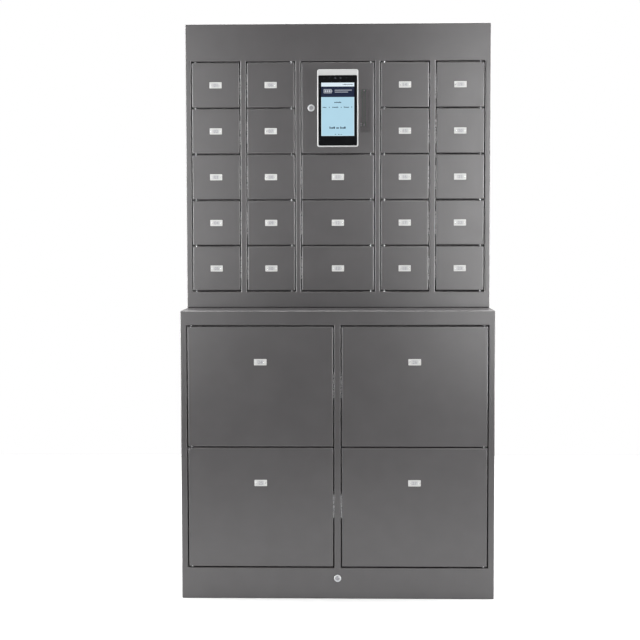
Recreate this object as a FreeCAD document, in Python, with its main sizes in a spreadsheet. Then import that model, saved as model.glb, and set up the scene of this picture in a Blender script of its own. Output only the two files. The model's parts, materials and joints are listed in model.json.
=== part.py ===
import FreeCAD, Part
import os
import re
import Sketcher

# A floor-standing phone charging kiosk in powder-coated sheet steel, in millimetres.
# The lower cabinet has four large lockers. The shallower upper cabinet stands on it, flush at the back,
# with five columns of small lockers around a payment terminal on its own door.
# +X is to the right of a person facing the kiosk, +Y points to its back and +Z up.
# The origin is on the floor, at the centre of the lower cabinet's footprint.

DIMENSIONS = {
    # cabinets
    "cabinet_width": 1000,
    "lower_height": 925,
    "upper_height": 930,
    "lower_depth": 500,
    "upper_depth": 311,
    "sheet": 1.2,
    "wiring_space": 50,
    "door_gap": 3,
    # front of the upper cabinet
    "upper_stile": 18,
    "outer_mullion": 19,
    "inner_mullion": 17,
    "small_door_width": 156,
    "wide_door_width": 238,
    "small_door_height": 147.2,
    "upper_sill": 53.5,
    # front of the lower cabinet
    "lower_stile": 20,
    "lower_mullion": 21,
    "large_door_width": 463.5,
    "large_door_height": 384.5,
    "kick_height": 100.5,
    # door leaves and hinge pins
    "door_depth": 16,
    "pin_inset": 10.5,
    "pin_depth": 8,
    "pin_radius": 2,
    "pin_clearance": 0.06,
    "pin_reach": 5,
    "collar_radius": 2.8,
    "collar_play": 0.2,
    # number plates
    "plate_width": 40,
    "plate_height": 20,
    "plate_thickness": 0.8,
    "plate_screw_radius": 2.6,
    "plate_screw_head": 0.9,
    "plate_screw_inset": 5,
    "large_plate_drop": 114,
    # shelves
    "shelf_thickness": 1.5,
    "shelf_setback": 18,
    "tongue_width": 11,
    "stop_width": 5,
    "stop_inset": 17,
    "stop_setback": 3,
    # electric locks and strikers
    "lock_thickness": 13,
    "lock_depth": 58,
    "lock_tall": 76,
    "lock_setback": 20,
    "slot_width": 7,
    "slot_depth": 18,
    "slot_tall": 18,
    "striker_thickness": 2,
    "striker_tall": 12,
    "striker_reach": 34,
    "striker_play": 1.5,
    "striker_tip": 3,
    "catch_length": 7,
    "catch_tall": 6,
    # charging ports
    "port_width": 36,
    "port_depth": 7,
    "port_tall": 24,
    "port_slot_width": 13,
    "port_slot_tall": 5,
    "port_slot_depth": 1,
    "port_slot_pitch": 10,
    "port_rise": 30,
    # payment terminal
    "terminal_width": 134,
    "terminal_tall": 252,
    "terminal_drop": 24,
    "terminal_proud": 8,
    "terminal_radius": 7,
    "core_margin": 4,
    "core_depth": 24,
    "glass_width": 127,
    "glass_tall": 228.5,
    "glass_rise": 4,
    "glass_thickness": 2,
    "glass_radius": 4,
    "window_play": 0.5,
    "strap_tall": 60,
    "strap_foot": 14,
    # speaker grille beside the terminal
    "grille_radius": 1.6,
    "grille_pitch": 5.6,
    "grille_step": 4.85,
    "grille_columns": 7,
    "grille_rows": 25,
    "grille_inset": 42.5,
    "grille_rise": 70,
    # key locks
    "collar_lock_radius": 11.5,
    "collar_lock_proud": 2.5,
    "barrel_radius": 9.5,
    "barrel_depth": 22,
    "plug_radius": 6.2,
    "plug_play": 0.08,
    "plug_proud": 0.6,
    "plug_tail": 0.5,
    "key_slot_width": 2,
    "key_slot_depth": 3,
    "key_slot_tall": 8,
    "cam_length": 40,
    "cam_sweep": 23,
    "cam_slot_play": 1,
    "overshoot": 1,
    "cam_width": 14,
    "cam_thickness": 2.5,
    "terminal_lock_inset": 32,
    "service_lock_rise": 66,
    # power and control parts
    "supply_width": 215,
    "supply_depth": 115,
    "supply_tall": 50,
    "supply_clearance": 20,
    "supply_step_width": 12,
    "supply_step_rise": 18,
    "board_width": 190,
    "board_tall": 130,
    "board_thickness": 1.6,
    "board_standoff": 8,
    "board_rise": 110,
    "board_margin": 6,
    "standoff_radius": 3,
    "relay_width": 15,
    "relay_depth": 15,
    "relay_tall": 19,
    "relay_pitch": 21,
    "relay_count": 8,
    "processor_width": 30,
    "processor_depth": 4,
    "charger_width": 200,
    "charger_depth": 100,
    "charger_tall": 42,
    "charger_pitch": 280,
    "charger_clearance": 40,
    # joining bolts and wall anchors
    "bolt_radius": 4,
    "bolt_head_radius": 7.5,
    "bolt_head_tall": 5,
    "bolt_spread_x": 420,
    "bolt_spread_y": 110,
    "cable_hole_radius": 16,
    "anchor_radius": 5,
    "anchor_spread_x": 800,
    "anchor_spread_z": 700,
    "anchor_low": 150,
    # cooling vents in the upper back panel
    "vent_width": 120,
    "vent_tall": 4,
    "vent_pitch": 12,
    "vent_count": 9,
    "vent_drop": 84,
    "vent_spread": 440,
    # mains inlet
    "inlet_width": 50,
    "inlet_tall": 24,
    "inlet_flange": 2,
    "inlet_body_width": 30,
    "inlet_body_tall": 22,
    "inlet_body_depth": 24,
    "inlet_mouth_width": 24,
    "inlet_mouth_tall": 16,
    "inlet_mouth_depth": 16,
    "inlet_pin_length": 9,
    "inlet_pin_root": 1,
    "inlet_pin_width": 2,
    "inlet_pin_tall": 4,
    "inlet_pin_pitch": 7,
    "inlet_pin_stagger": 5,
    "inlet_x": 380,
    "inlet_z": 60,
}

FORWARD_ALONG_Y = FreeCAD.Rotation(FreeCAD.Vector(1, 0, 0), -90)

document = FreeCAD.newDocument("charging_kiosk")
table = document.addObject("Spreadsheet::Sheet", "dims")
for row, (alias, value) in enumerate(DIMENSIONS.items(), start=1):
    table.set("A%d" % row, alias)
    table.set("B%d" % row, str(value))
    table.setAlias("B%d" % row, alias)
document.recompute()

sub_parts = []


# ---- helpers: formulas name the sheet's cells directly ----

def formula(text):
    return re.sub("|".join(r"\b%s\b" % alias for alias in DIMENSIONS), r"dims.\g<0>", text)


def bind(item, place, text):
    item.setExpression(place, formula(text))


def put_at(item, x, y, z):
    for axis, text in zip("xyz", (x, y, z)):
        bind(item, "Placement.Base." + axis, text)
    return item


def box(name, size, corner):
    item = document.addObject("Part::Box", name)
    for side, text in zip(("Length", "Width", "Height"), size):
        bind(item, side, text)
    return put_at(item, *corner)


def cylinder(name, radius, length, base, rotation=FreeCAD.Rotation()):
    item = document.addObject("Part::Cylinder", name)
    item.Placement = FreeCAD.Placement(FreeCAD.Vector(), rotation)
    bind(item, "Radius", radius)
    bind(item, "Height", length)
    return put_at(item, *base)


def fuse(name, pieces):
    item = document.addObject("Part::MultiFuse", name)
    item.Shapes = pieces
    return item


def group(name, pieces):
    item = document.addObject("Part::Compound", name)
    item.Links = pieces
    return item


def cut(name, base, tools):
    item = document.addObject("Part::Cut", name)
    item.Base = base
    item.Tool = tools[0] if len(tools) == 1 else group(name + "_tools", tools)
    return item


def mirrored(name, source):
    item = document.addObject("Part::Mirroring", name)
    item.Source = source
    item.Normal = FreeCAD.Vector(1, 0, 0)
    return item


def rounded(name, source, radius):
    """Round the four edges of a box that run front to back."""
    document.recompute()
    item = document.addObject("Part::Fillet", name)
    item.Base = source
    size = table.get(radius)
    edges = enumerate(source.Shape.Edges, start=1)
    item.Edges = [(i, size, size) for i, edge in edges if abs(edge.tangentAt(edge.FirstParameter).y) > 0.9]
    return item


def sub_part(label, item):
    item.Label = label
    sub_parts.append(item)
    return item


def sketch_on(body, role, name):
    plane = next(feature for feature in body.Origin.OriginFeatures if feature.Role == role)
    sketch = body.newObject("Sketcher::SketchObject", name)
    sketch.AttachmentSupport = (plane, [""])
    sketch.MapMode = "FlatFace"
    return sketch


def add_outline(sketch, corners):
    """Close a polygon whose corners are pairs of formulas, each one a named constraint."""
    first = sketch.GeometryCount
    count = len(corners)
    values = [[sheet_value(text) for text in corner] for corner in corners]
    for i, (x, y) in enumerate(values):
        end_x, end_y = values[(i + 1) % count]
        sketch.addGeometry(Part.LineSegment(FreeCAD.Vector(x, y, 0), FreeCAD.Vector(end_x, end_y, 0)), False)
    for i in range(count):
        following = first + (i + 1) % count
        sketch.addConstraint(Sketcher.Constraint("Coincident", first + i, 2, following, 1))
    for i, (x, y) in enumerate(values):
        for kind, value, text in (("DistanceX", x, corners[i][0]), ("DistanceY", y, corners[i][1])):
            place = sketch.addConstraint(Sketcher.Constraint(kind, -1, 1, first + i, 1, value))
            bind(sketch, "Constraints[%d]" % place, text)


def add_circle(sketch, x, y, radius):
    centre = FreeCAD.Vector(sheet_value(x), sheet_value(y), 0)
    circle = sketch.addGeometry(Part.Circle(centre, FreeCAD.Vector(0, 0, 1), sheet_value(radius)), False)
    for kind, text in (("DistanceX", x), ("DistanceY", y)):
        place = sketch.addConstraint(Sketcher.Constraint(kind, -1, 1, circle, 3, sheet_value(text)))
        bind(sketch, "Constraints[%d]" % place, text)
    place = sketch.addConstraint(Sketcher.Constraint("Radius", circle, sheet_value(radius)))
    bind(sketch, "Constraints[%d]" % place, radius)


def sheet_value(text):
    probe.setExpression("value", formula(text))
    probe.recompute()
    return probe.value


def pad(body, sketch, length, reverse):
    feature = body.newObject("PartDesign::Pad", sketch.Name + "_pad")
    feature.Profile = sketch
    bind(feature, "Length", length)
    feature.Reversed = reverse
    sketch.Visibility = False
    return feature


def pocket_through(body, sketch, reverse):
    document.recompute()
    before = body.Shape.Volume
    feature = body.newObject("PartDesign::Pocket", sketch.Name + "_pocket")
    feature.Profile = sketch
    feature.Type = "ThroughAll"
    feature.Reversed = reverse
    document.recompute()
    if not body.Shape.Volume < before:
        raise RuntimeError(sketch.Name + " cut nothing")
    return feature


probe = document.addObject("App::FeaturePython", "probe")
probe.addProperty("App::PropertyFloat", "value")

# ---- shared places ----

LOWER_FRONT = "(-lower_depth / 2)"
BACK = "(lower_depth / 2)"
UPPER_FRONT = "(lower_depth / 2 - upper_depth)"
LINER = "(lower_depth / 2 - wiring_space)"
HALF = "(cabinet_width / 2)"
UPPER_PITCH = "(small_door_height + door_gap)"
LOWER_PITCH = "(large_door_height + door_gap)"
UPPER_SILL_TOP = "(lower_height + upper_sill)"
UPPER_HEADER_LOW = "(lower_height + upper_sill + 5 * small_door_height + 6 * door_gap)"
LOWER_HEADER_LOW = "(kick_height + 2 * large_door_height + 3 * door_gap)"
TOTAL_HEIGHT = "(lower_height + upper_height)"

# Left edge and width of each column's opening, from the left, between its stile or mullion faces.
SMALL_BAY = "(small_door_width + 2 * door_gap)"
WIDE_BAY = "(wide_door_width + 2 * door_gap)"
LARGE_BAY = "(large_door_width + 2 * door_gap)"
BAY_A = "(upper_stile - cabinet_width / 2)"
BAY_B = "(%s + %s + outer_mullion)" % (BAY_A, SMALL_BAY)
BAY_C = "(%s + %s + inner_mullion)" % (BAY_B, SMALL_BAY)
BAY_D = "(%s + %s + inner_mullion)" % (BAY_C, WIDE_BAY)
BAY_E = "(%s + %s + outer_mullion)" % (BAY_D, SMALL_BAY)
LOWER_BAY_LEFT = "(lower_stile - cabinet_width / 2)"
LOWER_BAY_RIGHT = "(lower_mullion / 2)"


class Column:
    """One column of lockers: its bay, its hinge side, and which shelf lines it has above the lowest door."""

    def __init__(self, name, left, bay, leaf, hinge, front, sill_top, pitch, shelf_lines, top_line):
        self.name = name
        self.left = left
        self.bay = bay
        self.leaf = leaf
        self.hinge = hinge
        self.front = front
        self.sill_top = sill_top
        self.pitch = pitch
        self.shelf_lines = shelf_lines
        self.top_line = top_line

    def across(self, inset):
        """A place measured from the hinge side of the bay."""
        if self.hinge == "left":
            return "(%s + (%s))" % (self.left, inset)
        return "(%s + %s - (%s))" % (self.left, self.bay, inset)

    def from_latch(self, inset):
        """A place measured from the latch side of the bay."""
        if self.hinge == "left":
            return "(%s + %s - (%s))" % (self.left, self.bay, inset)
        return "(%s + (%s))" % (self.left, inset)

    def gap_low(self, line):
        """Underside of the gap at a line, where line 0 is the sill."""
        return "(%s + %d * %s)" % (self.sill_top, line, self.pitch)


def upper_column(name, left, bay, leaf, hinge, shelf_lines):
    return Column(name, left, bay, leaf, hinge, UPPER_FRONT, UPPER_SILL_TOP, UPPER_PITCH, shelf_lines, 5)


def lower_column(name, left, hinge):
    return Column(name, left, LARGE_BAY, "large", hinge, LOWER_FRONT, "kick_height", LOWER_PITCH, (1,), 2)


UPPER_COLUMNS = (
    upper_column("a", BAY_A, SMALL_BAY, "small", "left", (1, 2, 3, 4)),
    upper_column("b", BAY_B, SMALL_BAY, "small", "right", (1, 2, 3, 4)),
    upper_column("c", BAY_C, WIDE_BAY, "wide", "right", (1, 2, 3)),
    upper_column("d", BAY_D, SMALL_BAY, "small", "left", (1, 2, 3, 4)),
    upper_column("e", BAY_E, SMALL_BAY, "small", "right", (1, 2, 3, 4)),
)
LOWER_COLUMNS = (
    lower_column("f", LOWER_BAY_LEFT, "left"),
    lower_column("g", LOWER_BAY_RIGHT, "right"),
)


# ---- side panels: one sheet folded into outer wall, front stile and inner locker wall ----

def side_panels(label, stile, depth, front, low, height):
    body = document.addObject("PartDesign::Body", label + "_left")
    profile = sketch_on(body, "XY_Plane", label + "_profile")
    inner_end = "(%s - wiring_space)" % depth
    add_outline(profile, (
        ("0", "0"),
        (stile, "0"),
        (stile, inner_end),
        ("%s - sheet" % stile, inner_end),
        ("%s - sheet" % stile, "sheet"),
        ("sheet", "sheet"),
        ("sheet", "%s - sheet" % depth),
        (stile, "%s - sheet" % depth),
        (stile, depth),
        ("0", depth),
    ))
    pad(body, profile, height, False)
    put_at(body, "-cabinet_width / 2", front, low)
    return sub_part(label, group(label, [body, mirrored(label + "_right", body)]))


side_panels("lower_side_panels", "lower_stile", "lower_depth", LOWER_FRONT, "sheet", "lower_height - 2 * sheet")
side_panels("upper_side_panels", "upper_stile", "upper_depth", UPPER_FRONT, "lower_height + sheet",
            "upper_height - 2 * sheet")


# ---- dividers: a channel folded from one sheet, open at the back ----

def divider(name, width, left, front, depth, low, height):
    body = document.addObject("PartDesign::Body", name)
    profile = sketch_on(body, "XY_Plane", name + "_profile")
    add_outline(profile, (
        ("0", "0"),
        (width, "0"),
        (width, depth),
        ("%s - sheet" % width, depth),
        ("%s - sheet" % width, "sheet"),
        ("sheet", "sheet"),
        ("sheet", depth),
        ("0", depth),
    ))
    pad(body, profile, height, False)
    return put_at(body, left, front, low)


UPPER_WALL_DEPTH = "upper_depth - wiring_space"
UPPER_OPENING = "5 * small_door_height + 6 * door_gap"
TERMINAL_DOOR_LOW = "(%s + 3 * %s + door_gap)" % (UPPER_SILL_TOP, UPPER_PITCH)
TERMINAL_DOOR_TALL = "(2 * small_door_height + door_gap)"
TERMINAL_DOOR_LEFT = "(%s + door_gap)" % BAY_C
TERMINAL_LOCK_Z = "(%s + %s / 2)" % (TERMINAL_DOOR_LOW, TERMINAL_DOOR_TALL)
CAM_FRONT = "(%s + barrel_depth + plug_tail)" % UPPER_FRONT


def upper_divider(name, width, bay_right_of_it):
    left = "%s - %s" % (bay_right_of_it, width)
    return divider(name, width, left, UPPER_FRONT, UPPER_WALL_DEPTH, UPPER_SILL_TOP, UPPER_OPENING)


latch_divider = upper_divider("divider_b_c", "inner_mullion", BAY_C)
cam_slot = box("cam_slot",
               ("6 * sheet", "cam_thickness + 2 * cam_slot_play",
                "cam_sweep + cam_width / 2 + 2 * cam_slot_play"),
               ("%s - 3 * sheet" % BAY_C, "%s - cam_slot_play" % CAM_FRONT, "%s - cam_sweep" % TERMINAL_LOCK_Z))
sub_part("upper_dividers", group("upper_dividers", [
    upper_divider("divider_a_b", "outer_mullion", BAY_B),
    cut("divider_b_c_slotted", latch_divider, [cam_slot]),
    upper_divider("divider_c_d", "inner_mullion", BAY_D),
    upper_divider("divider_d_e", "outer_mullion", BAY_E),
]))
sub_part("lower_divider", divider(
    "lower_divider", "lower_mullion", "-lower_mullion / 2", LOWER_FRONT, "lower_depth - wiring_space",
    "kick_height", "2 * large_door_height + 3 * door_gap"))


# ---- front rails: a face plate with one deep fold that is the lockers' floor or ceiling ----

def rail(name, stile, front, depth, face_low, face_high, fold_at_top):
    body = document.addObject("PartDesign::Body", name)
    profile = sketch_on(body, "YZ_Plane", name + "_profile")
    deep = "%s - wiring_space" % depth
    tall = "(%s - %s)" % (face_high, face_low)
    if fold_at_top:
        corners = (("0", "0"), ("sheet", "0"), ("sheet", "%s - sheet" % tall), (deep, "%s - sheet" % tall),
                   (deep, tall), ("0", tall))
    else:
        corners = (("0", "0"), (deep, "0"), (deep, "sheet"), ("sheet", "sheet"), ("sheet", tall), ("0", tall))
    add_outline(profile, corners)
    pad(body, profile, "cabinet_width - 2 * %s" % stile, False)
    return put_at(body, "%s - cabinet_width / 2" % stile, front, face_low)


kick_face = rail("kick_face", "lower_stile", LOWER_FRONT, "lower_depth", "sheet", "kick_height", True)
service_hole = cylinder("service_hole", "barrel_radius", "4 * sheet",
                        ("0", "%s - sheet" % LOWER_FRONT, "service_lock_rise"), FORWARD_ALONG_Y)
sub_part("lower_kick_rail", cut("lower_kick_rail", kick_face, [service_hole]))
sub_part("lower_header_rail", rail(
    "lower_header_rail", "lower_stile", LOWER_FRONT, "lower_depth",
    LOWER_HEADER_LOW, "(lower_height - sheet)", False))
sill_face = rail(
    "sill_face", "upper_stile", UPPER_FRONT, "upper_depth",
    "(lower_height + sheet)", UPPER_SILL_TOP, True)
sill_stops = [
    box("sill_stop_" + column.name, ("stop_width", "shelf_setback", "shelf_thickness"),
        (column.from_latch("stop_inset") + " - stop_width / 2", "%s + stop_setback" % UPPER_FRONT,
         UPPER_SILL_TOP))
    for column in UPPER_COLUMNS
]
sub_part("upper_sill_rail", fuse("upper_sill_rail", [sill_face] + sill_stops))
sub_part("upper_header_rail", rail(
    "upper_header_rail", "upper_stile", UPPER_FRONT, "upper_depth",
    UPPER_HEADER_LOW, "(%s - sheet)" % TOTAL_HEIGHT, False))


# ---- horizontal cabinet panels, with the holes that the joining bolts and the cables share ----

BOLT_Y = "(lower_depth / 2 - upper_depth / 2)"
BOLT_PLACES = [
    ("%d * bolt_spread_x" % side, "%s + %d * bolt_spread_y" % (BOLT_Y, end))
    for side in (-1, 0, 1) for end in (-1, 1)
]


def full_panel(name, depth, front, low):
    return box(name, ("cabinet_width", depth, "sheet"), ("-cabinet_width / 2", front, low))


def joint_holes(name, low):
    tall = "3 * sheet"
    start = "%s - sheet" % low
    holes = [cylinder("%s_hole_%d" % (name, i), "bolt_radius", tall, (x, y, start))
             for i, (x, y) in enumerate(BOLT_PLACES, start=1)]
    return holes + [cylinder(name + "_cable_hole", "cable_hole_radius", tall,
                             ("-bolt_spread_x / 2", "%s + wiring_space / 2" % LINER, start))]


sub_part("lower_base_panel", full_panel("lower_base_panel", "lower_depth", LOWER_FRONT, "0"))
lower_top = full_panel("lower_top_blank", "lower_depth", LOWER_FRONT, "lower_height - sheet")
sub_part("lower_top_panel", cut("lower_top_panel", lower_top, joint_holes("lower_top", "lower_height - sheet")))
upper_base = full_panel("upper_base_blank", "upper_depth", UPPER_FRONT, "lower_height")
sub_part("upper_base_panel", cut("upper_base_panel", upper_base, joint_holes("upper_base", "lower_height")))
sub_part("upper_top_panel", full_panel(
    "upper_top_panel", "upper_depth", UPPER_FRONT, "%s - sheet" % TOTAL_HEIGHT))


# ---- back panels and the liners that close the lockers' backs ----

def back_plate(name, stile, y, low, high):
    return box(name, ("cabinet_width - 2 * %s" % stile, "sheet", "%s - %s" % (high, low)),
               ("%s - cabinet_width / 2" % stile, y, low))


ANCHOR_PLACES = [
    ("%d * anchor_spread_x / 2" % side, "anchor_low + %d * anchor_spread_z" % level)
    for side in (-1, 1) for level in (0, 1)
]
lower_back_cuts = [
    cylinder("anchor_hole_%d" % i, "anchor_radius", "3 * sheet",
             (x, "%s - 2 * sheet" % BACK, z), FORWARD_ALONG_Y)
    for i, (x, z) in enumerate(ANCHOR_PLACES, start=1)
]
lower_back_cuts.append(box("inlet_window", ("inlet_body_width", "3 * sheet", "inlet_body_tall"),
                           ("inlet_x - inlet_body_width / 2", "%s - 2 * sheet" % BACK,
                            "inlet_z - inlet_body_tall / 2")))
lower_back = back_plate("lower_back_blank", "lower_stile", "%s - sheet" % BACK,
                        "sheet", "(lower_height - sheet)")
sub_part("lower_back_panel", cut("lower_back_panel", lower_back, lower_back_cuts))

vents = [
    box("vent_%s_%d" % (name, i), ("vent_width", "3 * sheet", "vent_tall"),
        ("%s * vent_spread / 2 - vent_width / 2" % side, "%s - 2 * sheet" % BACK,
         "%s - vent_drop - %d * vent_pitch" % (TOTAL_HEIGHT, i)))
    for name, side in (("left", "-1"), ("right", "1")) for i in range(int(table.get("vent_count")))
]
upper_back = back_plate("upper_back_blank", "upper_stile", "%s - sheet" % BACK, "(lower_height + sheet)",
                        "(%s - sheet)" % TOTAL_HEIGHT)
sub_part("upper_back_panel", cut("upper_back_panel", upper_back, vents))
sub_part("rear_liners", group("rear_liners", [
    back_plate("lower_liner", "lower_stile", LINER, "kick_height", LOWER_HEADER_LOW),
    back_plate("upper_liner", "upper_stile", LINER, UPPER_SILL_TOP, UPPER_HEADER_LOW),
]))


# ---- shelves: flat plates in the gaps between door rows ----
# A tongue at the hinge side holds the pin's collar, and one at the latch side stops the door above it.

def shelf(column, line):
    name = "shelf_%s%d" % (column.name, line)
    low = "%s + (door_gap - shelf_thickness) / 2" % column.gap_low(line)
    plate = box(name + "_plate",
                (column.bay, "%s - %s - shelf_setback" % (LINER, column.front), "shelf_thickness"),
                (column.left, "%s + shelf_setback" % column.front, low))
    pivot = column.across("door_gap + pin_inset")
    tongue = box(name + "_tongue", ("tongue_width", "shelf_setback - pin_depth", "shelf_thickness"),
                 ("%s - tongue_width / 2" % pivot, "%s + pin_depth" % column.front, low))
    pieces = [plate, tongue]
    if column.leaf != "large":
        stop_left = column.from_latch("stop_inset") + " - stop_width / 2"
        pieces.append(box(name + "_stop", ("stop_width", "shelf_setback - stop_setback", "shelf_thickness"),
                          (stop_left, "%s + stop_setback" % column.front, low)))
    seat = cylinder(name + "_seat", "collar_radius", "3 * shelf_thickness",
                    (pivot, "%s + pin_depth" % column.front, "%s - shelf_thickness" % low))
    return cut(name, fuse(name + "_blank", pieces), [seat])


sub_part("shelves", group("shelves", [
    shelf(column, line) for column in UPPER_COLUMNS + LOWER_COLUMNS for line in column.shelf_lines
]))


# ---- hinge pins: a collar that fills the gap, with a shaft into the door above, below or both ----

def hinge_pin(column, line):
    name = "pin_%s%d" % (column.name, line)
    low = column.gap_low(line)
    x = column.across("door_gap + pin_inset")
    y = "%s + pin_depth" % column.front
    at_sill = line == 0
    at_header = line == column.top_line
    collar_low = low if at_sill else "%s + collar_play" % low
    collar_tall = "door_gap - collar_play" if at_sill or at_header else "door_gap - 2 * collar_play"
    shaft_low = low if at_sill else "%s - pin_reach" % low
    shaft_tall = "door_gap + pin_reach" if at_sill or at_header else "door_gap + 2 * pin_reach"
    return fuse(name, [
        cylinder(name + "_collar", "collar_radius", collar_tall, (x, y, collar_low)),
        cylinder(name + "_shaft", "pin_radius", shaft_tall, (x, y, shaft_low)),
    ])


sub_part("hinge_pins", group("hinge_pins", [
    hinge_pin(column, line)
    for column in UPPER_COLUMNS + LOWER_COLUMNS
    for line in (0,) + column.shelf_lines + (column.top_line,)
]))


# ---- door leaves: folded pans with a hole for the pin in the top and bottom fold ----
# A leaf is drawn with its lower left front corner at the origin.

def leaf_body(name, width, height, hinge):
    body = document.addObject("PartDesign::Body", name)
    outline = (("0", "0"), (width, "0"), (width, height), ("0", height))
    inside = (("sheet", "sheet"), ("%s - sheet" % width, "sheet"),
              ("%s - sheet" % width, "%s - sheet" % height), ("sheet", "%s - sheet" % height))
    face = sketch_on(body, "XZ_Plane", name + "_face")
    add_outline(face, outline)
    pad(body, face, "sheet", True)
    rim = sketch_on(body, "XZ_Plane", name + "_rim")
    add_outline(rim, outline)
    add_outline(rim, inside)
    pad(body, rim, "door_depth", True)
    holes = sketch_on(body, "XY_Plane", name + "_pin_hole")
    pin_x = "pin_inset" if hinge == "left" else "%s - pin_inset" % width
    add_circle(holes, pin_x, "pin_depth", "pin_radius + pin_clearance")
    pocket_through(body, holes, True)
    return body


def striker(name, width, height, hinge):
    """The steel keeper welded inside the leaf at the latch side, which the electric lock's catch holds."""
    centre = "door_gap - lock_thickness / 2 - (slot_width - striker_thickness) / 2 + striker_play"
    if hinge == "left":
        left = "%s + %s - striker_thickness / 2" % (width, centre)
    else:
        left = "-(%s) - striker_thickness / 2" % centre
    blade = box(name + "_blade", ("striker_thickness", "striker_reach - sheet", "striker_tall"),
                (left, "sheet", "%s / 2 - striker_tall / 2" % height))
    eye = box(name + "_eye", ("3 * striker_thickness", "catch_length", "catch_tall"),
              (left + " - striker_thickness", "striker_reach - striker_tip - catch_length",
               "%s / 2 - catch_tall / 2" % height))
    return cut(name, blade, [eye])


def number_plate(name, centre_x, centre_z):
    """A number plate and its two screw heads, on the leaf's front."""
    plate = box(name, ("plate_width", "plate_thickness", "plate_height"),
                ("%s - plate_width / 2" % centre_x, "-plate_thickness", "%s - plate_height / 2" % centre_z))
    screws = [
        cylinder("%s_screw_%d" % (name, i), "plate_screw_radius", "plate_screw_head",
                 ("%s + %d * (plate_width / 2 - plate_screw_inset)" % (centre_x, side),
                  "-plate_thickness - plate_screw_head", centre_z), FORWARD_ALONG_Y)
        for i, side in enumerate((-1, 1), start=1)
    ]
    return [plate] + screws


def door_pieces(leaf, hinge):
    name = "%s_%s" % (leaf, hinge)
    width = leaf + "_door_width"
    height = "large_door_height" if leaf == "large" else "small_door_height"
    plate_z = "(large_door_height - large_plate_drop)" if leaf == "large" else "(small_door_height / 2)"
    return [
        leaf_body(name + "_leaf", width, height, hinge),
        striker(name + "_striker", width, height, hinge),
    ] + number_plate(name + "_plate", "(%s / 2)" % width, plate_z)


DOOR_KINDS = {
    (leaf, hinge): door_pieces(leaf, hinge)
    for leaf, hinge in sorted({(column.leaf, column.hinge) for column in UPPER_COLUMNS + LOWER_COLUMNS})
}
number = 0
for column in UPPER_COLUMNS + LOWER_COLUMNS:
    doors_in_column = column.top_line - (2 if column.leaf == "wide" else 0)
    for line in reversed(range(doors_in_column)):
        number += 1
        door = group("door_%02d" % number, DOOR_KINDS[column.leaf, column.hinge])
        put_at(door, "%s + door_gap" % column.left, column.front, "%s + door_gap" % column.gap_low(line))
        sub_part("door_%02d" % number, door)


# ---- electric locks, one in each locker behind the striker ----

def electric_lock(column, line):
    name = "lock_%s%d" % (column.name, line)
    height = "large_door_height" if column.leaf == "large" else "small_door_height"
    middle = "(%s + door_gap + %s / 2)" % (column.gap_low(line), height)
    left = column.from_latch("lock_thickness") if column.hinge == "left" else column.left
    front = "%s + lock_setback" % column.front
    case = box(name + "_case", ("lock_thickness", "lock_depth", "lock_tall"),
               (left, front, "%s - lock_tall / 2" % middle))
    slot = box(name + "_slot", ("slot_width", "slot_depth", "slot_tall"),
               ("%s + (lock_thickness - slot_width) / 2" % left, "%s - overshoot" % front,
                "%s - slot_tall / 2" % middle))
    return cut(name, case, [slot])


sub_part("electric_locks", group("electric_locks", [
    electric_lock(column, line)
    for column in UPPER_COLUMNS + LOWER_COLUMNS
    for line in range(column.top_line - (2 if column.leaf == "wide" else 0))
]))


# ---- charging ports, one double socket on the liner of each locker ----

def charging_port(column, line):
    name = "port_%s%d" % (column.name, line)
    height = "large_door_height" if column.leaf == "large" else "small_door_height"
    centre_x = "(%s + %s / 2)" % (column.left, column.bay)
    centre_z = "(%s + door_gap + %s / 2 + port_rise)" % (column.gap_low(line), height)
    case = box(name + "_case", ("port_width", "port_depth", "port_tall"),
               ("%s - port_width / 2" % centre_x, "%s - port_depth" % LINER, "%s - port_tall / 2" % centre_z))
    slots = [
        box("%s_slot_%d" % (name, i), ("port_slot_width", "2 * port_slot_depth", "port_slot_tall"),
            ("%s - port_slot_width / 2" % centre_x, "%s - port_depth - port_slot_depth" % LINER,
             "%s + %d * port_slot_pitch / 2 - port_slot_tall / 2" % (centre_z, side)))
        for i, side in enumerate((-1, 1), start=1)
    ]
    return cut(name, case, slots)


sub_part("charging_ports", group("charging_ports", [
    charging_port(column, line)
    for column in UPPER_COLUMNS + LOWER_COLUMNS
    for line in range(column.top_line - (2 if column.leaf == "wide" else 0))
]))


# ---- terminal door: a tall pan with a window, a key lock and a speaker grille ----

terminal_leaf = leaf_body("terminal_door", "wide_door_width", TERMINAL_DOOR_TALL, "right")
CORE_WIDTH = "(terminal_width - 2 * core_margin)"
CORE_TALL = "(terminal_tall - 2 * core_margin)"
TERMINAL_MIDDLE = "(%s - terminal_drop - terminal_tall / 2)" % TERMINAL_DOOR_TALL
window = sketch_on(terminal_leaf, "XZ_Plane", "terminal_window")
window_sides = ["(wide_door_width / 2 %s (%s / 2 + window_play))" % (sign, CORE_WIDTH) for sign in "-+"]
window_ends = ["(%s %s (%s / 2 + window_play))" % (TERMINAL_MIDDLE, sign, CORE_TALL) for sign in "-+"]
add_outline(window, ((window_sides[0], window_ends[0]), (window_sides[1], window_ends[0]),
                     (window_sides[1], window_ends[1]), (window_sides[0], window_ends[1])))
pocket_through(terminal_leaf, window, False)
lock_hole = sketch_on(terminal_leaf, "XZ_Plane", "terminal_lock_hole")
add_circle(lock_hole, "terminal_lock_inset", "%s / 2" % TERMINAL_DOOR_TALL, "barrel_radius")
pocket_through(terminal_leaf, lock_hole, False)
grille_row = sketch_on(terminal_leaf, "XZ_Plane", "grille_row")
for i in range(int(table.get("grille_columns"))):
    add_circle(grille_row, "wide_door_width - grille_inset + %d * grille_step" % i,
               "grille_rise + %d * grille_pitch / 2" % (i % 2), "grille_radius")
grille_pocket = pocket_through(terminal_leaf, grille_row, False)
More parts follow.
